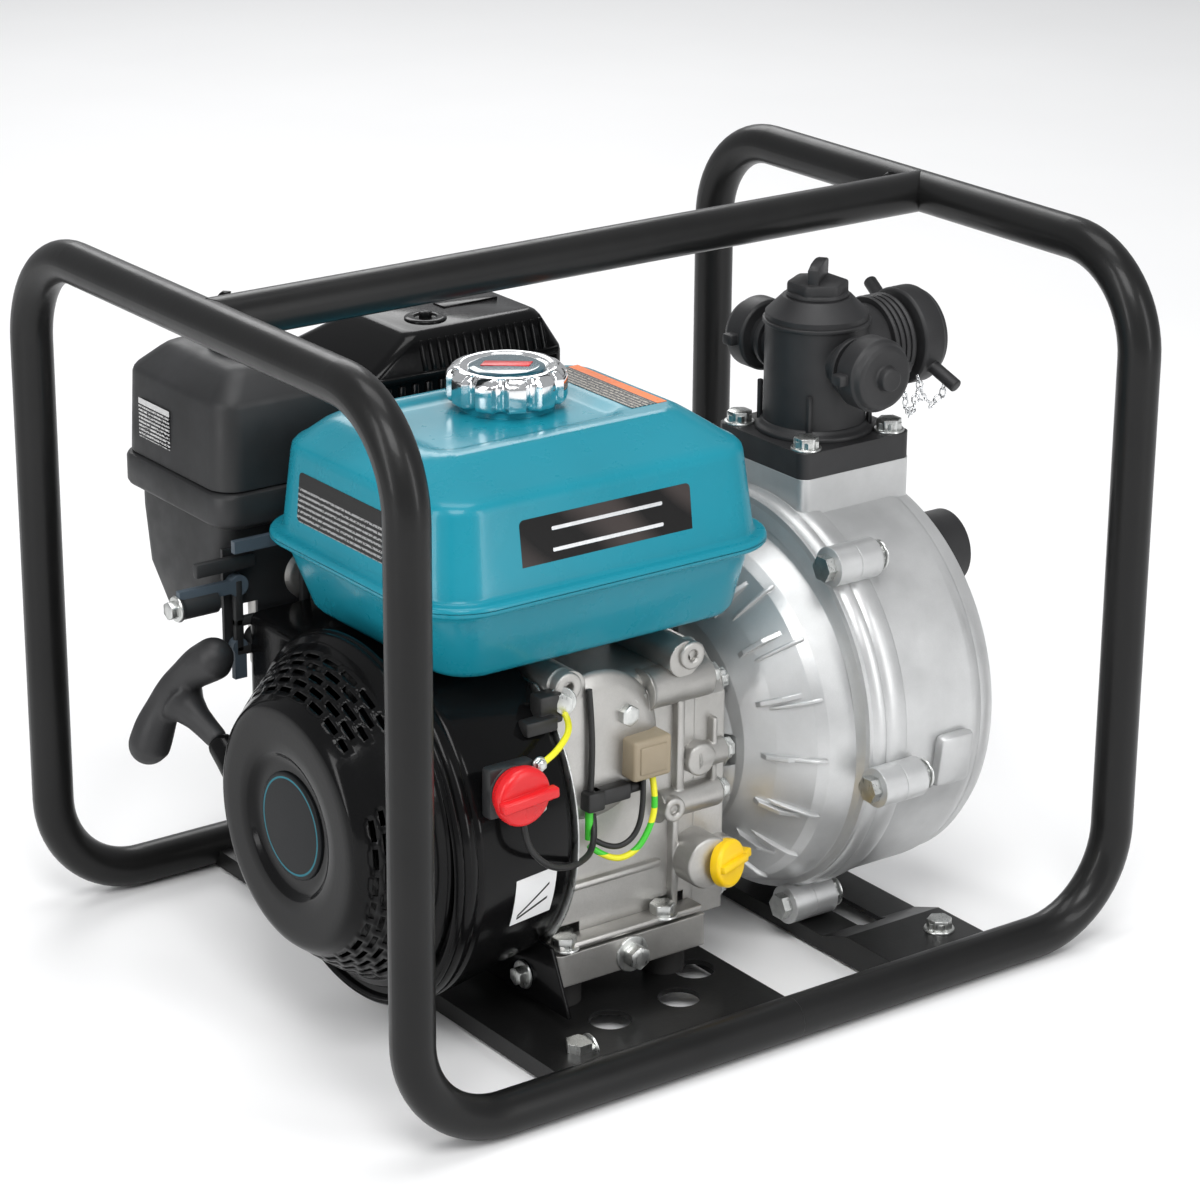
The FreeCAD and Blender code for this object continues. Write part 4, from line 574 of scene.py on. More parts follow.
def film(name, ground, roughness=0.25):
    f = Finish(name, Roughness=roughness, Coat_Weight=0.12, Coat_Roughness=0.1, Specular_IOR_Level=0.15)
    f.feed("Base Color", ground)
    return f


def front_wall(height):
    return TANK["front"] + 0.6 + (height - 285.6) / 44.4 * 6.0 - 0.25


def side_wall(height):
    return TANK["left"] + 0.4 + (height - 285.6) / 44.4 * 3.9 - 0.25


def labels():
    panel = film("name_panel", (0.006, 0.005, 0.005))
    # The diagonal lighter bands are a painted sheen: a reflection painted into the panel's dark colour, not
    # print.
    painted_sheen_bands = panel.node(
        "ShaderNodeTexWave", {"wave_type": "BANDS", "bands_direction": "DIAGONAL"},
        {"Vector": panel.place, "Scale": 9.0, "Distortion": 3.0, "Detail": 1.0}, out="Fac")
    panel.feed(
        "Base Color",
        panel.blend(panel.spread(painted_sheen_bands, 0, 1, 0.35, 0.95), (0.006, 0.0055, 0.0055), (0.045, 0.036, 0.034)))
    corners = ((-133, 293), (-16, 293), (-16, 323), (-133, 323))
    wall_skin("name_panel", corners, front_wall, panel.material, "front")
    silver = FINISH["cap_chrome"]
    for number, (left, right, low, high) in enumerate(((-112, -36, 314, 316.2), (-112, -36, 302, 304.2))):
        wall_skin(
            "name_panel_line_%d" % number, ((left, low), (right, low), (right, high), (left, high)),
            lambda height: front_wall(height) - 0.25, silver, "front", corner=0.9)
    side = film("side_panel", (0.01, 0.01, 0.01))
    z = side.axes()[2]
    rows = side.node("ShaderNodeMath", {"operation": "FRACT"}, {0: z * 310.0})
    dashes = side.noise(900, 1)
    ink = (rows > 0.55) * (dashes > 0.42) * (z < 0.3135)
    side.feed("Base Color", side.blend(ink, (0.008, 0.008, 0.008), (0.32, 0.32, 0.32)))
    wall_skin("side_panel", ((18, 293), (-76, 293), (-76, 322), (18, 322)), side_wall, side.material, "side")
    top = film("top_panel", (0.01, 0.01, 0.01))
    x = top.axes()[0]
    lines = top.node("ShaderNodeMath", {"operation": "FRACT"}, {0: x * 330.0})
    ink = (lines > 0.5) * (top.noise(800, 1) > 0.45) * (x < 0.005)
    band = x > 0.0065
    top.feed(
        "Base Color",
        top.blend(band, top.blend(ink, (0.008, 0.008, 0.008), (0.36, 0.33, 0.28)), (0.80, 0.16, 0.01)))
    shape = cuboid(25, 88, 0.3, edge=0)
    extra("top_panel", "tank_enamel", (shape, at(1, -22, 350)), finish=top.material)


labels()


# --- Recoil starter

HUB = (-44, 136.8)           # the crank axis: y and height
COWL_LEFT, COWL_Z = -190, 131   # the cowl's open end and the height of its axis
ROPE = Vector((0, math.cos(math.radians(30)), 0.5))
ROPE_EXIT = Vector((-224, 46, 153.7))


def recoil_cover():
    profile = [(0, 103.5), (3.6, 103.8), (5.2, 102.6), (6.2, 99.6), (8.4, 97.8), (12, 96)]
    profile += [(14.5 + 2.5 * step, 94.6 - 1.62 * step - 0.03 * step * step) for step in range(10)]
    profile += [
        (40, 75.4), (42.6, 73.4), (44.6, 71.6), (45.6, 69.4), (46, 66.8), (46, 62), (45.5, 52), (45.2, 44.6),
        (44.4, 43.0), (42.6, 41.2), (41.4, 38.8), (41.0, 36), (41.0, 34.0), (40.6, 0)]
    cover = lathe(profile, steps=120, ends=False)
    cover = assembled((cover, at(COWL_LEFT, *HUB, along=TO_LEFT)))
    holes = []
    for face in cover.faces:
        spot = face.calc_center_median()
        depth = COWL_LEFT - spot.x
        if not 14.5 < depth < 37:
            continue
        row = int((depth - 14.5) / 2.5)
        turn = math.degrees(math.atan2(spot.z - HUB[1], spot.y - HUB[0])) % 360
        sector = int(turn / 3 + 0.001)
        rope_side = abs(turn - 11) < 12
        hump_side = abs(turn - 143) < 13
        if row % 2 == 0 and (sector + row) % 4 != 0 and not rope_side and not hump_side:
            holes.append(face)
    bmesh.ops.delete(cover, geom=holes, context="FACES")
    cover.normal_update()
    piece = stand_for("recoil_housing", "recoil_cover_pressing", cover, sharp=42)
    wall = piece.modifiers.new("wall", "SOLIDIFY")
    wall.thickness = 0.0016
    wall.offset = -1
    spout = rounded_lathe(
        [(-2, 0), (-2, 9.5), (12, 8.6), (21, 8.2), (24, 7.2), (24, 3.2), (16, 3), (16, 0)], radius=1.2,
        steps=40)
    start = ROPE_EXIT - ROPE * 21
    extra("rope_spout", "black_enamel", (spout, at(*start, along=ROPE)))
    badge = rounded_lathe([(0, 31.8), (1.2, 31.8), (1.9, 30.2), (1.9, 0)], radius=0.5, steps=96)
    ink = Finish("badge", Roughness=0.42, Specular_IOR_Level=0.15)
    off = ink.node(
        "ShaderNodeVectorMath", {"operation": "DISTANCE"},
        {0: ink.place, 1: (-0.2329, HUB[0] * MM, HUB[1] * MM)}, out="Value")
    ring = (off > 0.0280) * (off < 0.0292)
    ink.feed("Base Color", ink.blend(ring, (0.006, 0.007, 0.008), (0.01, 0.13, 0.17)))
    ink.relief(ink.noise(900, 2), 0.00003)
    extra("recoil_badge", "black_enamel", (badge, at(-231, *HUB, along=TO_LEFT)), finish=ink.material)
    hump = bmesh.new()
    bmesh.ops.create_uvsphere(
        hump, u_segments=32, v_segments=16, radius=1, matrix=Matrix.Diagonal((17, 9, 6, 1)))
    turn = math.radians(143)
    out = Vector((-0.62, math.cos(turn) * 0.78, math.sin(turn) * 0.78))
    place = Vector((-207, HUB[0] + 87 * math.cos(turn), HUB[1] + 87 * math.sin(turn)))
    extra("recoil_hump", "black_enamel", (hump, at(*place, along=out, turn=90)))
    feet = [
        (
            cuboid(9, 9, 3, 1.2),
            at(-191.5, HUB[0] + 97 * math.cos(t), HUB[1] + 97 * math.sin(t), along=TO_LEFT))
        for t in (math.radians(a) for a in (35, 155, 275))]
    extra("recoil_feet", "black_enamel", *feet)


def recoil_grip():
    """A T grip with swept wings, merged into its neck."""
    middle = ROPE_EXIT + ROPE * 43 + Vector((-8, 0, 0))
    across = Vector((0.34, -0.47, 0.81)).normalized()
    outward = ROPE.copy()
    wings = pipe(
        [
            middle + across * -39 - outward * 7, middle + across * -26 - outward * 1, middle + outward * 5,
            middle + across * 26 - outward * 1, middle + across * 39 - outward * 7],
        10.4, around=8, along=12)
    for vert in wings.verts:
        reach = (vert.co - middle).dot(across)
        swell = 1 + 0.22 * smoothstep((abs(reach) - 10) / 22)
        foot = middle + across * reach + outward * (5 - 12 * (reach / 39) ** 2)
        vert.co = foot + (vert.co - foot) * swell
    ends = []
    for side in (-1, 1):
        tip = bmesh.new()
        bmesh.ops.create_uvsphere(tip, u_segments=24, v_segments=16, radius=12.4)
        ends.append((tip, Matrix.Translation(middle + across * 37 * side - outward * 5.6)))
    neck = lathe(
        [(0, 0), (0, 6.2), (3, 6.8), (10, 7.2), (20, 8.2), (29, 11), (35, 15), (38, 11), (38, 0)], steps=32)
    foot = ROPE_EXIT + ROPE * 3.2
    lean = (middle - foot).normalized()
    whole = assembled((wings, Matrix()), (neck, at(*foot, along=lean)), *ends)
    rough = piece_from(whole, "rough_grip", "starter_handle", "grip_plastic")
    fuse = rough.modifiers.new("fuse", "REMESH")
    fuse.mode = "VOXEL"
    fuse.voxel_size = 0.0011
    calm = rough.modifiers.new("calm", "SMOOTH")
    calm.factor = 0.7
    calm.iterations = 14
    mesh = bpy.data.meshes.new_from_object(rough.evaluated_get(bpy.context.evaluated_depsgraph_get()))
    bpy.data.objects.remove(rough)
    shape = bmesh.new()
    shape.from_mesh(mesh)
    bmesh.ops.scale(shape, vec=(1 / MM,) * 3, verts=shape.verts)
    stand_for("recoil_handle", "recoil_grip", shape, sharp=60)


recoil_cover()
recoil_grip()


# --- Cowl and baffle

def trimmed_above(shape, height):
    geom = shape.verts[:] + shape.edges[:] + shape.faces[:]
    bmesh.ops.bisect_plane(shape, geom=geom, plane_co=(0, 0, height), plane_no=(0, 0, 1), clear_outer=True)
    bmesh.ops.holes_fill(shape, edges=shape.edges, sides=0)


def cowl():
    drum = lathe(
        [
            (0, 0), (0, 86), (1, 92), (1.4, 100), (0.6, 104), (0.9, 107.5), (3, 110), (6, 111), (10, 110.6),
            (11.5, 109.4), (13, 110.2), (16, 110.2), (60, 103.5), (76, 100.5), (82, 99), (83, 96), (83, 0)],
        steps=120)
    drum = assembled((drum, at(COWL_LEFT, HUB[0], COWL_Z, along=TO_RIGHT)))
    trimmed_above(drum, 222.6)
    duct = cuboid(83, 116, 148, edge=7, segments=4)
    add(drum, duct, at(-148.5, 14, 75))
    foot = prism([(-146, 22), (-60, 20), (-60, 60), (-128, 60)], 3, edge=0.8)
    add(drum, foot, Matrix.Translation((-112, 0, 0)) @ EDGE_ON_X)
    stand_for("blower_housing", "cowl_pressing", drum, sharp=38)
    rings = lathe(
        [
            (0, 103.9), (-2, 105.2), (-3, 106.4), (-2, 107.6), (-1.2, 108.2), (-2, 109.2), (-0.6, 110.4),
            (1, 110.6)],
        steps=120, ends=False)
    piece = extra(
        "cowl_rings", "black_enamel", (rings, at(COWL_LEFT + 0.4, HUB[0], COWL_Z, along=TO_RIGHT)), sharp=50)
    wall = piece.modifiers.new("wall", "SOLIDIFY")
    wall.thickness = 0.0008


def baffle():
    plate = lathe(
        [(0, 60), (0, 100.5), (0.8, 102.4), (1.6, 102.4), (1.6, 60), (0, 60)], steps=120, ends=False)
    plate = assembled((plate, at(-106.6, HUB[0], COWL_Z, along=TO_RIGHT)))
    trimmed_above(plate, 214)
    ear = prism([(-134, 180), (-104, 214), (-84, 214), (-84, 168), (-126, 160)], 1.8, edge=0.5)
    add(plate, ear, Matrix.Translation((-106, 0, 0)) @ EDGE_ON_X)
    stand_for("baffle_plate", "baffle_pressing", plate, sharp=38)


def cowl_notice():
    """A plain white panel wrapped on the cowl."""
    shape = bmesh.new()
    columns, rows = 6, 16
    grid = []
    for column in range(columns + 1):
        x = -151 + 31 * column / columns
        radius = 110.2 - (x + 174) * 0.152 + 0.15
        line = []
        for row in range(rows + 1):
            height = 91 + 30 * row / rows
            turn = math.asin((height - COWL_Z) / radius)
            line.append(
                [
                    shape.verts.new(
                        (
                            x, HUB[0] - (radius + lift) * math.cos(turn),
                            COWL_Z + (radius + lift) * math.sin(turn)))
                    for lift in (0, 0.3)])
        grid.append(line)
    for column in range(columns):
        for row in range(rows):
            for level in (0, 1):
                shape.faces.new(
                    [grid[column + i][row + j][level] for i, j in ((0, 0), (1, 0), (1, 1), (0, 1))])
    rim = [grid[c][0] for c in range(columns + 1)] + [grid[columns][r] for r in range(1, rows + 1)]
    rim += [grid[c][rows] for c in range(columns - 1, -1, -1)] + [grid[0][r] for r in range(rows - 1, 0, -1)]
    for first, second in zip(rim, rim[1:] + rim[:1]):
        shape.faces.new((first[0], second[0], second[1], first[1]))
    bmesh.ops.recalc_face_normals(shape, faces=shape.faces)
    paper = film("cowl_notice", (0.8, 0.8, 0.8), 0.4)
    x, _, z = paper.axes()
    stroke = paper.node("ShaderNodeMath", {"operation": "ABSOLUTE"}, {0: (z - 0.104) - (x + 0.136) * 0.7})
    other = paper.node("ShaderNodeMath", {"operation": "ABSOLUTE"}, {0: (z - 0.099) - (x + 0.134) * 0.35})
    inside = (x > -0.147) * (x < -0.125) * (z > 0.094) * (z < 0.116)
    marks = ((stroke < 0.0009) + (other < 0.0009) * (z < 0.104)) * inside
    paper.feed("Base Color", paper.blend(marks, (0.82, 0.82, 0.82), (0.02, 0.02, 0.02)))
    piece_from(shape, "cowl_notice", "frame", "black_enamel", finish=paper.material, sharp=50)


cowl()
baffle()
cowl_notice()


# --- Engine case: ribs, bosses and the electrical bits on its face

CASE_FRONT = -111.5         # the machined front of the case, along y


def boss(radius, length, hole=0.0, edge=1.2):
    """A cast round boss, open or closed at its end."""
    profile = [(0, 0), (0, radius + 1.5), (2, radius), (length, radius)]
    profile += [(length, hole), (length - 6, hole), (length - 6, 0)] if hole else [(length, 0)]
    return rounded_lathe(profile, radius=edge, steps=40)


def case_details():
    face = CASE_FRONT
    parts = [
        (boss(9, 9, 3.2), at(-94, face, 214, TO_FRONT)), (boss(8.5, 9, 3.2), at(-6, face, 214, TO_FRONT)),
        (boss(12.2, 46, 0), at(-34, -108, 195, TO_RIGHT)), (boss(9.4, 44, 0), at(-26, -112, 122, TO_RIGHT)),
        (boss(7.5, 12, 3), at(-20, -112, 122, TO_FRONT)), (boss(10, 11, 0), at(2, -109, 147, TO_FRONT)),
        (boss(8.2, 22, 0), at(0, -112, 147, TO_RIGHT)), (cuboid(6, 12, 62, 1.8), at(-11, -111, 124)),
        (cuboid(5, 12, 60, 1.8), at(-14, -111, 56)), (cuboid(4, 10, 40, 1.6), at(14, -112, 130)),
        (cuboid(60, 9, 4, 1.6), at(-66, -111, 138, turn=0)), (cuboid(78, 10, 5, 2), at(-62, -111, 84)),
        (
            rounded_lathe([(0, 0), (0, 46), (3.6, 44), (6.4, 37), (7.4, 20), (7.6, 0)], radius=2, steps=72),
            at(-72, face, 172, TO_FRONT)),
        (boss(16, 24, 0, 2), at(0, -108, 86, TO_FRONT)), (cuboid(104, 14, 5, 2), at(-51, -118, 52)),]
    extra("case_ribs", "engine_casting", *parts, sharp=40)
    lower = [(-96, -119, 52), (-25, -119, 54)]
    heads = [(hex_head(13.5, 6.5, 9.5), at(x, y, z + 1)) for x, y, z in lower]
    heads += [
        (hex_head(11, 5.5, 8.5), at(12.5, -108, 195, TO_RIGHT)),
        (hex_head(11, 5.5, 8.5), at(21.5, -112, 147, TO_RIGHT)),
        (hex_head(11, 5.5, 8.5), at(18.5, -112, 122, TO_RIGHT)),
        (hex_head(13, 7, 10), at(2.5, -101, 46, TO_RIGHT)),
        (hex_head(11.5, 5, 10.5), at(-52, -116.6, 188, TO_FRONT)),
        (hex_head(10, 5, 9), at(-112.4, -102, 34, TO_LEFT)),
        (hex_head(11, 5, 9), at(-99, -119.5, 207, (-0.5, -1, 0.1))),
        (hex_head(10, 4.5, 8.5), at(-103.5, -112, 124, (0.3, -1, 0))),]
    extra("case_screws", "bright_zinc", *heads)
    drain = hex_head(13, 8, 11.5)
    replaced("drain_bolt", "drain_screw", (drain, at(-51.6, -124.9, 39.5, TO_FRONT)))


def alert_unit():
    strap = prism([(-80, 176), (-36, 178), (-36, 196), (-60, 198), (-80, 190)], 1.4, edge=0.4)
    upright = Matrix.Rotation(math.radians(90), 4, "X")
    extra("alert_strap", "bright_zinc", (strap, Matrix.Translation((0, -114.8, 0)) @ upright))
    tab = prism([(-60, 170), (-44, 170), (-44, 190), (-49, 196), (-56, 196), (-60, 190)], 1.4, edge=0.4)
    box = cuboid(27, 18, 25, 2.2, segments=3)
    lid = cuboid(19, 2, 17, 1.0)
    replaced(
        "oil_alert_unit", "alert_box", (tab, Matrix.Translation((0, -116.4, 0)) @ upright),
        (box, at(-41.5, -121.5, 149.5)), (lid, at(-41.5, -130.6, 153.5)))


def wires():
    routes = {
        "wire_black_alert": (
            [(-78, -121, 118), (-68, -126, 110), (-54, -129, 114), (-46, -128, 130), (-44, -124, 151)], 1.7,
            False),
        "wire_yellow_alert": (
            [
                (-80, -121, 114), (-70, -127, 104), (-54, -131, 106), (-41, -130, 122), (-37, -127, 138),
                (-38, -124, 151)],
            1.9, True),
        "wire_yellow_switch": (
            [(-99, -121, 202), (-104, -138, 200), (-124, -152, 194), (-140, -156, 190), (-148, -155, 184)],
            1.9, True),
        "wire_black_drop": (
            [(-80, -120, 210), (-79, -122, 186), (-79, -122, 160), (-80, -121, 134)], 1.9, False),
        "wire_green_drop": ([(-80, -121, 136), (-80, -121, 118)], 2.4, True),}
    striped = Finish("yellow_green", Roughness=0.38)
    _, _, height = striped.axes()
    green = (height < 0.1225) * (height > 0.1085) + (height < 0.137) * (height > 0.1305)
    drop = striped.axes()[0] < -0.0772
    striped.feed(
        "Base Color",
        striped.blend(green * (1 - drop) + drop * (height < 0.1365), (0.80, 0.76, 0.02), (0.05, 0.55, 0.03)))
    striped.relief(striped.noise(1500, 2), 0.00002)
    for name, (points, radius, is_earth) in routes.items():
        piece_from(
            pipe(points, radius, along=12), name, "frame", "wire_cover",
            finish=striped.material if is_earth else None, sharp=60)
    switch_lead = [
        (-152, -157, 168), (-155, -163, 150), (-140, -164, 132), (-118, -154, 122), (-98, -140, 116),
        (-86, -132, 116), (-78, -124, 124), (-76, -119, 132)]
    stand_for("engine_wires", "wire_black_switch", pipe(switch_lead, 1.9, along=12), sharp=60)
    plug = assembled(
        (cuboid(26, 9, 10, 1.6), at(-66, -121, 138)), (cuboid(12, 11, 12, 1.6), at(-78, -121, 136)),
        (boss(3.2, 12), at(-54, -121, 143, TO_RIGHT)))
    piece_from(plug, "wire_plug", "frame", "wire_cover")
    holder = assembled(
        (cuboid(16, 12, 18, 2), at(-108, -118, 196)), (cuboid(22, 10, 9, 2), at(-118, -124, 194)))
    piece_from(holder, "wire_holder", "frame", "wire_cover")


SWITCH = (-158, 180)        # x and height of the engine switch


def switch():
    dial = rounded_lathe(
        [(0, 0), (0, 14.6), (3.5, 15.4), (6, 17.2), (10.5, 17.2), (12.6, 15.8), (13.4, 13), (13.4, 0)],
        radius=0.9, steps=64)
    wing = cuboid(37, 6.4, 6.5, 1.4, segments=3)
    slant = Matrix.Rotation(math.radians(4), 4, "Z")
    replaced(
        "switch_knob", "switch_dial", (dial, at(SWITCH[0], -157.4, SWITCH[1], TO_FRONT)),
        (wing, at(SWITCH[0], -169.5, SWITCH[1], TO_FRONT) @ slant))
    body = assembled(
        (cuboid(30, 9, 30, 2), at(-158, -152, 165)),
        (
            rounded_lathe([(0, 0), (0, 15), (5, 15), (5, 0)], radius=0.8, steps=48),
            at(SWITCH[0], -152.2, SWITCH[1], TO_FRONT)))
    stand_for("switch_body", "switch_case", body)
    ears = [
        (hex_head(6, 2.2, 4.6), at(SWITCH[0] + dx, -157.4, SWITCH[1] + dz, TO_FRONT))
        for dx, dz in ((17, 12), (17, -13))]
    extra("switch_screws", "bright_zinc", *ears)


def dipstick():
    axis = Vector((0.35, -1, 0.12))
    disc = rounded_lathe(
        [(0, 0), (0, 10.5), (9, 10.5), (10, 14.6), (15.6, 14.6), (17, 12.8), (17, 0)], radius=0.9, steps=64)
    bar = cuboid(26, 5, 5.5, 1.2)
    tab = cuboid(13, 5.5, 9, 1.2)
    foot = Vector((7.5, -121, 82.5))
    place = at(*foot, along=axis)
    replaced(
        "dipstick", "dipstick_knob", (disc, place), (bar, place @ Matrix.Translation((0, 0, 14.5))),
        (tab, place @ Matrix.Translation((15, 0, 7.5))))


case_details()
alert_unit()
wires()
switch()
dipstick()


# --- Bolts: every plain bolt head gets a chamfered hexagon on a flange

def islands(mesh):
    """The separate bodies of a mesh, as lists of points in millimetres."""
    shape = bmesh.new()
    shape.from_mesh(mesh)
    bmesh.ops.remove_doubles(shape, verts=shape.verts, dist=0.000004)
    left = dict.fromkeys(shape.verts)
    while left:
        start = next(iter(left))
        del left[start]
        group, queue = [start], [start]
        while queue:
            for edge in queue.pop().link_edges:
                for vert in edge.verts:
                    if vert in left:
                        del left[vert]
                        group.append(vert)
                        queue.append(vert)
        yield [vert.co / MM for vert in group]
    shape.free()


def dressed_bolts(node, name, flats=13.6):
    heads = []
    for points in islands(frame["nodes"][node].data):
        low = Vector([min(p[i] for p in points) for i in range(3)])
        high = Vector([max(p[i] for p in points) for i in range(3)])
        middle = (low + high) / 2
        along = max(range(3), key=lambda i: high[i] - low[i])
        wide = [
            p for p in points
            if (p - middle - (p - middle).project(Vector([float(i == along) for i in range(3)]))).length > 6.2
        ]
        if not wide:
            continue
        spot = sum(p[along] for p in wide) / len(wide)
        outward = Vector([float(i == along) for i in range(3)]) * (1 if spot > middle[along] else -1)
        inner = min(p[along] for p in wide) if spot > middle[along] else max(p[along] for p in wide)
        foot = middle.copy()
        foot[along] = inner
        heads.append((hex_head(flats, 6.2, 9.6), at(*foot, along=outward)))
    extra(name, "bright_zinc", *heads)


dressed_bolts("frame_bolts", "frame_bolt_heads")
dressed_bolts("cover_bolts", "cover_bolt_heads", 11.5)
dressed_bolts("pump_bolts", "pump_bolt_heads")


# --- Air cleaner

AIR = {"left": -206, "right": -108, "front": 68, "back": 186}


def air_ring(height, left, right, front, back, corner):
    return (
        height, AIR["left"] + left, AIR["right"] - right, AIR["front"] + front, AIR["back"] - back, corner)


def air_cleaner():
    cover = pressed(
        [
            air_ring(297.4, 0, 0, 0, 0, 16), air_ring(346, 1.8, 1.6, 1.8, 1.8, 15),
            air_ring(348.8, 2.6, 2.4, 2.6, 2.6, 15), air_ring(351, 4.2, 3.8, 4.2, 4.4, 14),
            air_ring(361, 14.4, 11, 13.6, 15, 12), air_ring(363.4, 17.4, 13.6, 16.4, 18, 11),
            air_ring(365, 20.6, 16.6, 19.6, 21.4, 10), air_ring(365.7, 24.4, 20.4, 23.4, 25.4, 9),
            air_ring(365.8, 29, 25, 28, 30, 7)])
    stand_for("air_cleaner_cover", "air_cover_shell", cover, sharp=40)
    base = pressed(
        [
            air_ring(272.6, 5, 5, 5, 5, 13), air_ring(275, 1.5, 1.5, 1.5, 1.5, 15),
            air_ring(277, -2, -2, -2, -0.4, 16), air_ring(279, -3, -3, -3, -1, 16),
            air_ring(293.6, -3, -3, -3, -1, 16), air_ring(295.6, -2, -2, -2, -0.4, 16),
            air_ring(296.6, 0.5, 0.5, 0.5, 1, 16)])
    horn = pressed(
        [
            (204, -196, -168, 126, 156, 10), (206, -198, -167, 124, 157, 10), (229, -201, -166, 94, 172, 12),
            (263, -201, -120, 80, 179, 13), (274, -201, -116, 78, 180, 14)])
    add(base, horn)
    stand_for("air_cleaner_base", "air_base_shell", base, sharp=40)
    knob = rounded_lathe(
        [(0.4, 0), (0.4, 18.6), (3, 18.9), (8, 17), (9.8, 14.4), (9.8, 0)], radius=0.8, steps=72)
    for vert in knob.verts:
        radius = math.hypot(vert.co.x, vert.co.y)
        if radius > 15:
            ripple = 1 - 0.028 * (0.5 + 0.5 * math.cos(12 * math.atan2(vert.co.y, vert.co.x)))
            vert.co.x *= ripple
            vert.co.y *= ripple
    replaced("air_cleaner_knob", "air_knob", (knob, at(-157, 127, 366)), sharp=50)
    tag = film("air_tag", (0.01, 0.01, 0.01))
    z = tag.axes()[2]
    rows = tag.node("ShaderNodeMath", {"operation": "FRACT"}, {0: z * 420.0})
    ink = (rows > 0.5) * (tag.noise(1100, 1) > 0.44) * (z < 0.3285)
    tag.feed("Base Color", tag.blend(ink + (z > 0.3295), (0.008, 0.008, 0.008), (0.6, 0.6, 0.6)))
    shape = cuboid(0.3, 36, 24, edge=0)
    extra("air_tag", "filter_plastic", (shape, at(-205.7, 146, 309)), finish=tag.material)


def carburettor_side():
    """Linkage, bowl nut, intake and the bolt that show round the control plate."""
    black = [
        (boss(7, 26, 0), at(-236, 72, 233, TO_RIGHT)), (cuboid(40, 5, 9, 1.5), at(-205, 70, 250)),
        (cuboid(6, 5, 46, 1.5), at(-196, 71, 198)), (cuboid(6, 5, 46, 1.5), at(-150, 71, 198)),
        (cuboid(52, 5, 6, 1.5), at(-173, 71, 214)), (cuboid(52, 5, 7, 1.5), at(-173, 71, 196)),
        (boss(6, 9, 2), at(-184, 74, 205, TO_FRONT)),]
    extra("control_ribs", "filter_plastic", *black)
    extra(
        "control_screws", "bright_zinc", (hex_head(10, 5, 8), at(-236, 72, 233, TO_LEFT)),
        (hex_head(8, 4, 6.5), at(-128, 73, 246, TO_FRONT)))
    brass = Finish("bowl_brass", Metallic=1.0)
    brass.feed(
        "Base Color",
        brass.blend(brass.spread(brass.noise(90, 4), 0, 1), (0.30, 0.27, 0.10), (0.46, 0.42, 0.20)))
    brass.feed("Roughness", brass.spread(brass.noise(60), 0.28, 0.42))
    bowl = rounded_lathe(
        [(0, 0), (0, 4), (2, 7), (2, 12), (7, 14.5), (22, 14.5), (22, 0)], radius=1, steps=40)
    extra("float_bowl", "engine_casting", (bowl, at(-140, 88, 176)), finish=brass.material)
    tap = rounded_lathe([(0, 0), (0, 6), (3, 9), (16, 9.4), (18, 7), (26, 7), (26, 0)], radius=1, steps=40)
    throat = rounded_lathe(
        [(0, 0), (0, 12), (4, 17), (8, 17), (12, 13), (30, 13), (30, 0)], radius=1, steps=40)
    extra(
        "carburettor_bits", "engine_casting", (tap, at(-168, 88, 178)), (throat, at(-146, 72.5, 236, TO_BACK))
    )


air_cleaner()
carburettor_side()


# --- Muffler guard

def muffler_guard():
    left, right, front, back = -98, 46, 80, 184
    shell = pressed(
        [
            (284, left, right, front, back, 8), (340, left, right, front, back, 8),
            (343, left + 1.5, right - 0.6, front + 0.4, back - 1, 8),
            (362, left + 31, right - 10.6, front + 6.6, back - 23, 8),
            (364.6, left + 34, right - 12.4, front + 9, back - 26, 8),
            (366, left + 38, right - 15, front + 12, back - 30, 8)])
    stand_for("muffler_guard", "guard_shell", shell, sharp=35)
    louvres = []
    for number in range(13):
        x = -84 + number * 9.6
        louvres.append((cuboid(4.2, 6.5, 42, 1.2), at(x, 80.5, 296, turn=24)))
    for number in range(9):
        louvres.append((cuboid(6.5, 4.2, 40, 1.2), at(-98, 92 + number * 10, 296, turn=24)))
    slope = math.degrees(math.atan2(19, 6.2))
    for number in range(15):
        slat = cuboid(3.2, 3.4, 20, 0.9)
        lean = Matrix.Translation(
            (-56 + number * 6.2, 80.4, 342.5)) @ Matrix.Rotation(math.radians(slope - 90), 4, "X")
        louvres.append((slat, lean))
    frame_bars = [
        (cuboid(132, 4, 5, 1.2), at(-26, 79.6, 339)), (cuboid(132, 4, 6, 1.2), at(-26, 79.6, 289)),
        (cuboid(4, 96, 5, 1.2), at(-98, 132, 339))]
    extra("guard_louvres", "black_enamel", *louvres, *frame_bars)
    ring = rounded_lathe(
        [(0, 13), (1.6, 13), (2.2, 11), (2.2, 7.5), (0.8, 6.5), (0.8, 0)], radius=0.5, steps=48)
    extra(
        "guard_boss", "black_enamel", (ring, at(-36, 111, 365.6)), (hex_head(7, 3), at(-36, 111, 366.2)),
        (cuboid(40, 12, 1, 0.4), at(6, 130, 365.8)))


muffler_guard()


# --- Discharge head

HEAD = (142, -44)           # x and y of the discharge head's axis
OUTLET_Z = 352


def lobed_cap(radius, depth, lugs):
    """A screw cap with a stepped rim, a centre knob and grip lugs."""
    cap = rounded_lathe(
        [
            (0, 0), (0, radius - 1.5), (1.5, radius), (depth - 6, radius), (depth - 4.5, radius - 1.6),
            (depth - 1, radius - 3), (depth, radius - 5.5), (depth, 8), (depth + 1, 7.4), (depth + 5.4, 7),
            (depth + 6, 6), (depth + 6, 0)],
        radius=0.7, steps=72)
    for number in range(lugs):
        turn = TURN * number / lugs
        place = at((radius + 1) * math.cos(turn), (radius + 1) * math.sin(turn), 3, turn=math.degrees(turn))
        add(cap, cuboid(9, 7, 9, 1.6), place)
    return cap


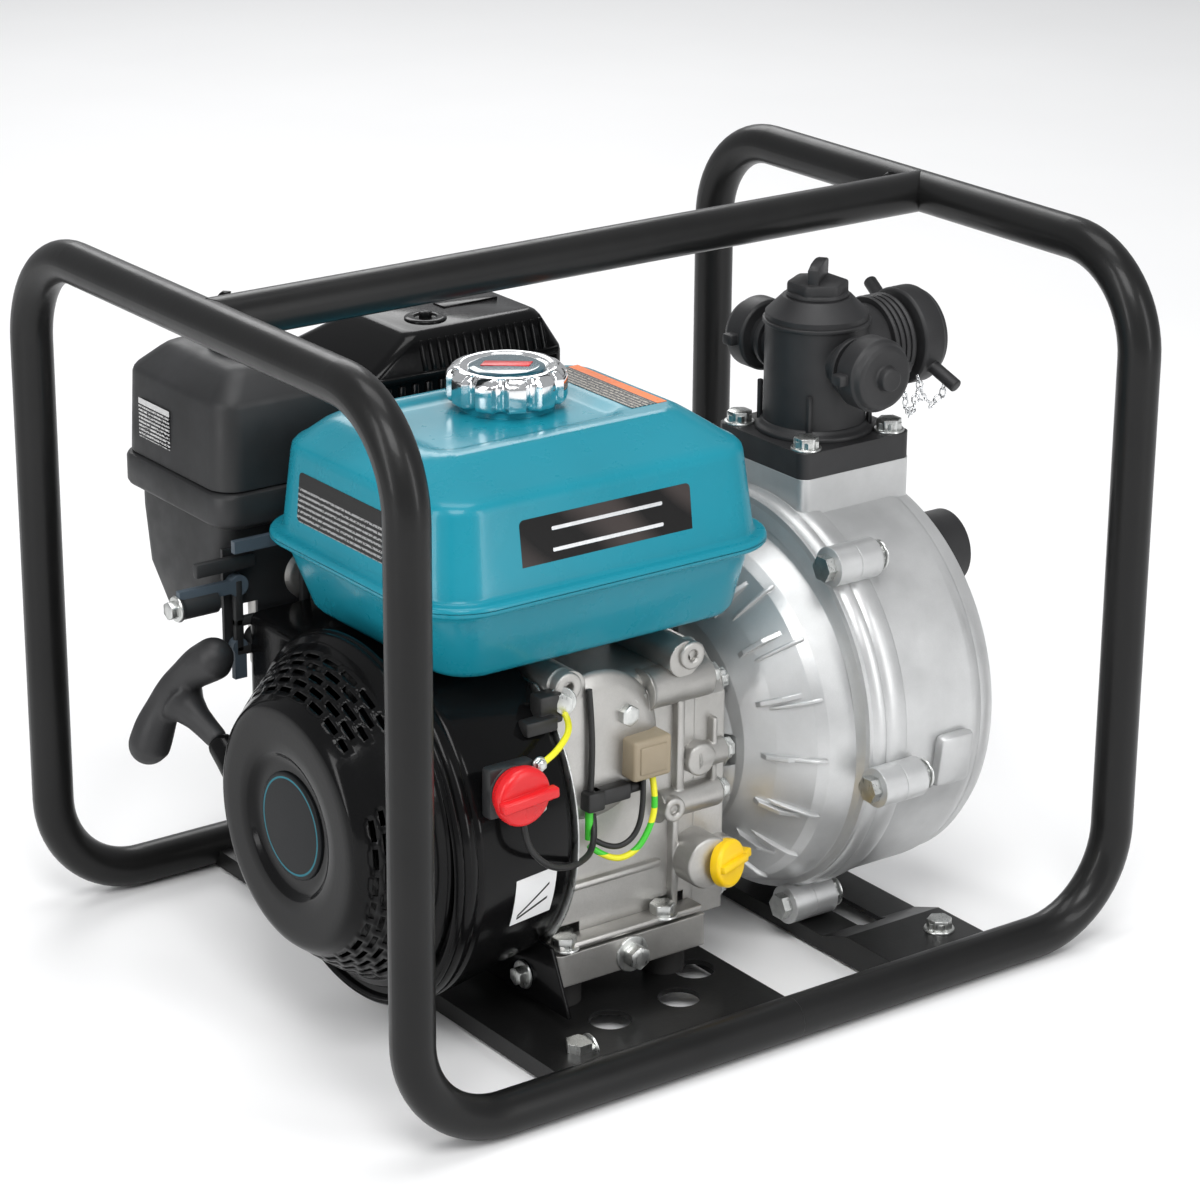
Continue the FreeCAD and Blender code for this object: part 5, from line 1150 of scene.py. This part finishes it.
def discharge_head():
    x, y = HEAD
    replaced("outlet_cap_front", "cap_front", (lobed_cap(22.2, 20.5, 2), at(x, -88.5, OUTLET_Z, TO_FRONT)))
    replaced("outlet_cap_back", "cap_back", (lobed_cap(22.2, 20.5, 2), at(x, 0.5, OUTLET_Z, TO_BACK)))
    main = lobed_cap(30, 20.5, 0)
    replaced(
        "outlet_cap_main", "cap_main", (main, at(203.5, y, OUTLET_Z, TO_RIGHT)),
        (boss(4.2, 22), at(213, -68, 338, (0.2, -1, -0.5))), (boss(4.2, 18), at(213, -20, 368, (0.2, 1, 0.5)))
    )
    rims = [
        (
            rounded_lathe([(0, 0), (0, 36), (3, 36), (4.6, 33), (7, 31.6), (7, 0)], radius=0.9, steps=80),
            at(x, y, 305.5)),
        (rounded_lathe([(0, 31), (0, 32.6), (2.4, 32.6), (2.4, 31)], radius=0.5, steps=80), at(x, y, 372)),
        (
            rounded_lathe([(0, 0), (0, 18.5), (3.5, 18.5), (4.6, 17), (4.6, 0)], radius=0.7, steps=64),
            at(x, y, 386.6)),
        (
            rounded_lathe([(0, 15), (0, 18), (4, 18), (4, 15)], radius=0.6, steps=64),
            at(x, y - 34, OUTLET_Z, TO_FRONT)),
        (
            rounded_lathe([(0, 15), (0, 18), (4, 18), (4, 15)], radius=0.6, steps=64),
            at(x, y + 34, OUTLET_Z, TO_BACK))]
    rims += [
        (
            lathe([(0, 24), (0, 27.4), (1.6, 28.2), (3.2, 27.4), (3.2, 24)], steps=72),
            at(x + 40 + 4.2 * k, y, OUTLET_Z, TO_RIGHT))
        for k in range(4)]
    rims += [
        (cuboid(3, 3, 26, 0.8), at(x + 33 * math.cos(t), y + 33 * math.sin(t), 308))
        for t in (0.8, 2.36, 3.93, 5.5)]
    extra("head_rims", "manifold_plastic", *rims)
    collar = assembled((hex_head(33, 6.6, 19, 2.2), at(x, y, 388.6)))
    wing = prism(
        [(-15, 0), (15, 0), (16, 11), (6, 13), (3, 17.6), (-3, 17.6), (-6, 13), (-16, 11)], 7, edge=1.2)
    add(
        collar, wing,
        at(x, y, 396, turn=40) @ Matrix.Rotation(math.radians(90), 4, "X") @ Matrix.Translation((0, 0, -3.5)))
    trimmed_above(collar, 408)
    stand_for("priming_plug", "plug_collar", collar)


def chain(name, points, link=4.6):
    """Small wire links strung along a smooth line."""
    spots = []
    for start, end in zip(points, points[1:]):
        count = max(1, round((Vector(end) - Vector(start)).length / link))
        spots += [Vector(start).lerp(Vector(end), step / count) for step in range(count)]
    loops = bmesh.new()
    for number, (spot, following) in enumerate(zip(spots, spots[1:] + [Vector(points[-1])])):
        hoop = lathe(
            [(0.55 * math.sin(TURN * k / 6), 2.0 + 0.55 * math.cos(TURN * k / 6)) for k in range(7)],
            steps=12, ends=False)
        bmesh.ops.scale(hoop, vec=(1.45, 1, 1), verts=hoop.verts)
        line = (following - spot).normalized()
        base = line.to_track_quat("X", "Z").to_matrix().to_4x4()
        twist = Matrix.Rotation(math.radians(90 * (number % 2) + 20), 4, "X")
        add(loops, hoop, Matrix.Translation(spot) @ base @ twist)
    piece_from(loops, name, "frame", "cap_chrome", sharp=70)


def chains():
    chain(
        "chain_front", [(168, -96, 334), (172, -94, 324), (180, -88, 318), (188, -82, 320), (196, -76, 330)])
    chain("chain_main", [(196, -76, 334), (200, -76, 322), (208, -76, 316), (216, -76, 322), (216, -78, 332)])
    chain("chain_back", [(150, 10, 330), (160, 6, 318), (172, 0, 314), (184, -8, 322)])


discharge_head()
chains()


# --- Pump bracket and casing

DOME_Z, CASING_Z = 140.8, 148.8      # heights of the bracket dome's axis and of the casing's axis


def pump_details():
    ribs = bmesh.new()
    profile = [(42, 60), (46, 76), (50, 88.5), (56, 97), (64, 106), (70, 109.4), (70, 98), (60, 88), (46, 60)]
    for number in range(18):
        rib = prism(profile, 2.2, edge=0.6)
        turn = TURN * (number + 0.5) / 18
        stand = Matrix.Translation(
            (0, HUB[0], DOME_Z)) @ Matrix.Rotation(turn, 4, "X") @ Matrix.Translation((0, -1.3, 0))
        add(ribs, rib, stand @ EDGE_ON_Y)
    ring = lathe(
        [
            (87, 112), (88, 121), (89.5, 124), (92, 126.4), (96, 127.4), (98.4, 127.2), (99.4, 126.2),
            (100.6, 127.2), (104, 128.2), (110, 128.2), (114, 127.4), (116, 125)],
        steps=128, ends=False)
    add(ribs, ring, at(0, HUB[0], CASING_Z, along=TO_RIGHT))
    bmesh.ops.recalc_face_normals(ribs, faces=ribs.faces)
    piece_from(ribs, "bracket_ribs", "frame", "pump_casting", sharp=35)
    pad_turn = math.radians(188)
    pad_out = Vector((0, math.cos(pad_turn), math.sin(pad_turn)))
    drum_edge = lathe(
        [(174, 124.6), (180, 124.4), (186, 121), (188.6, 115), (188.6, 104)], steps=128, ends=False)
    whole = assembled(
        (cuboid(26, 34, 9, 4), at(*(Vector((150, HUB[0], CASING_Z)) + pad_out * 124), along=pad_out)))
    add(whole, drum_edge, at(0, HUB[0], CASING_Z, along=TO_RIGHT))
    piece_from(whole, "casing_pads", "frame", "pump_casting", sharp=35)


pump_details()


# --- Frame

def frame_seams():
    """Weld beads where the top bar meets the two loops."""
    seams = [
        (
            lathe([(0, 12.2), (0, 13.2), (1.6, 13.9), (3.2, 13.2), (4.6, 12.6)], steps=48, ends=False),
            at(x, 0, 427.3, along=d))
        for x, d in ((-239, TO_RIGHT), (239, (-1, 0, 0)))]
    whole = assembled(*seams)
    trimmed_above(whole, 439.6)
    bmesh.ops.recalc_face_normals(whole, faces=whole.faces)
    piece_from(whole, "frame_seams", "frame", "frame_enamel", sharp=60)


frame_seams()


# --- Stage

def stage_floor():
    shape = bmesh.new()
    bmesh.ops.create_grid(shape, x_segments=1, y_segments=1, size=14)
    mesh = bpy.data.meshes.new("floor")
    shape.to_mesh(mesh)
    shape.free()
    floor = bpy.data.objects.new("floor", mesh)
    bpy.context.scene.collection.objects.link(floor)
    paper = Finish("floor_paper", Roughness=0.6, Specular_IOR_Level=0.3)
    paper.feed(
        "Base Color", paper.blend(paper.spread(paper.noise(3), 0, 1), (0.90, 0.90, 0.90), (0.92, 0.92, 0.92)))
    mesh.materials.append(paper.material)


MIDDLE = Vector((0.0, 0.0, 0.2))
LAMPS = (                   # name, place, width and height in metres, watts
    ("key", (-1.1, -1.6, 2.6), 1.3, 1.3, 46),
    ("front_strip", (0.9, -2.6, 1.2), 0.5, 2.2, 24),
    ("left_strip", (-2.6, -0.4, 1.3), 0.5, 2.2, 26),
    ("back_fill", (1.2, 2.4, 2.0), 1.6, 1.2, 26),
    ("top", (0.1, 0.1, 2.9), 1.6, 1.0, 24),
)


def softbox(name, position, width, height, power):
    """A rectangular lamp aimed at the middle of the pump."""
    data = bpy.data.lights.new(name, "AREA")
    data.shape = "RECTANGLE"
    data.size = width
    data.size_y = height
    data.energy = power
    lamp = bpy.data.objects.new(name, data)
    lamp.location = position
    lamp.rotation_euler = (MIDDLE - Vector(position)).to_track_quat("-Z", "Y").to_euler()
    bpy.context.scene.collection.objects.link(lamp)


def studio():
    world = bpy.data.worlds.new("studio")
    bpy.context.scene.world = world
    world.use_nodes = True
    sky = world.node_tree.nodes["Background"].inputs
    sky["Color"].default_value = (0.97, 0.98, 1.0, 1)
    sky["Strength"].default_value = 0.45
    for lamp in LAMPS:
        softbox(*lamp)


LENS_MM, SENSOR_MM = 112.2025, 36
VIEW_SHIFT = (0.056607, -0.014955)
VIEW_FROM = (-1.236272, -1.70864, 0.992077)
VIEW_TURN = (69.938337, -0.053513, -35.090239)      # degrees


def camera():
    data = bpy.data.cameras.new("camera")
    data.lens = LENS_MM
    data.sensor_width = SENSOR_MM
    data.shift_x, data.shift_y = VIEW_SHIFT
    view = bpy.data.objects.new("camera", data)
    view.location = VIEW_FROM
    view.rotation_euler = [math.radians(turn) for turn in VIEW_TURN]
    bpy.context.scene.collection.objects.link(view)
    bpy.context.scene.camera = view


stage_floor()
studio()
camera()
bpy.context.scene.view_settings.view_transform = "Standard"
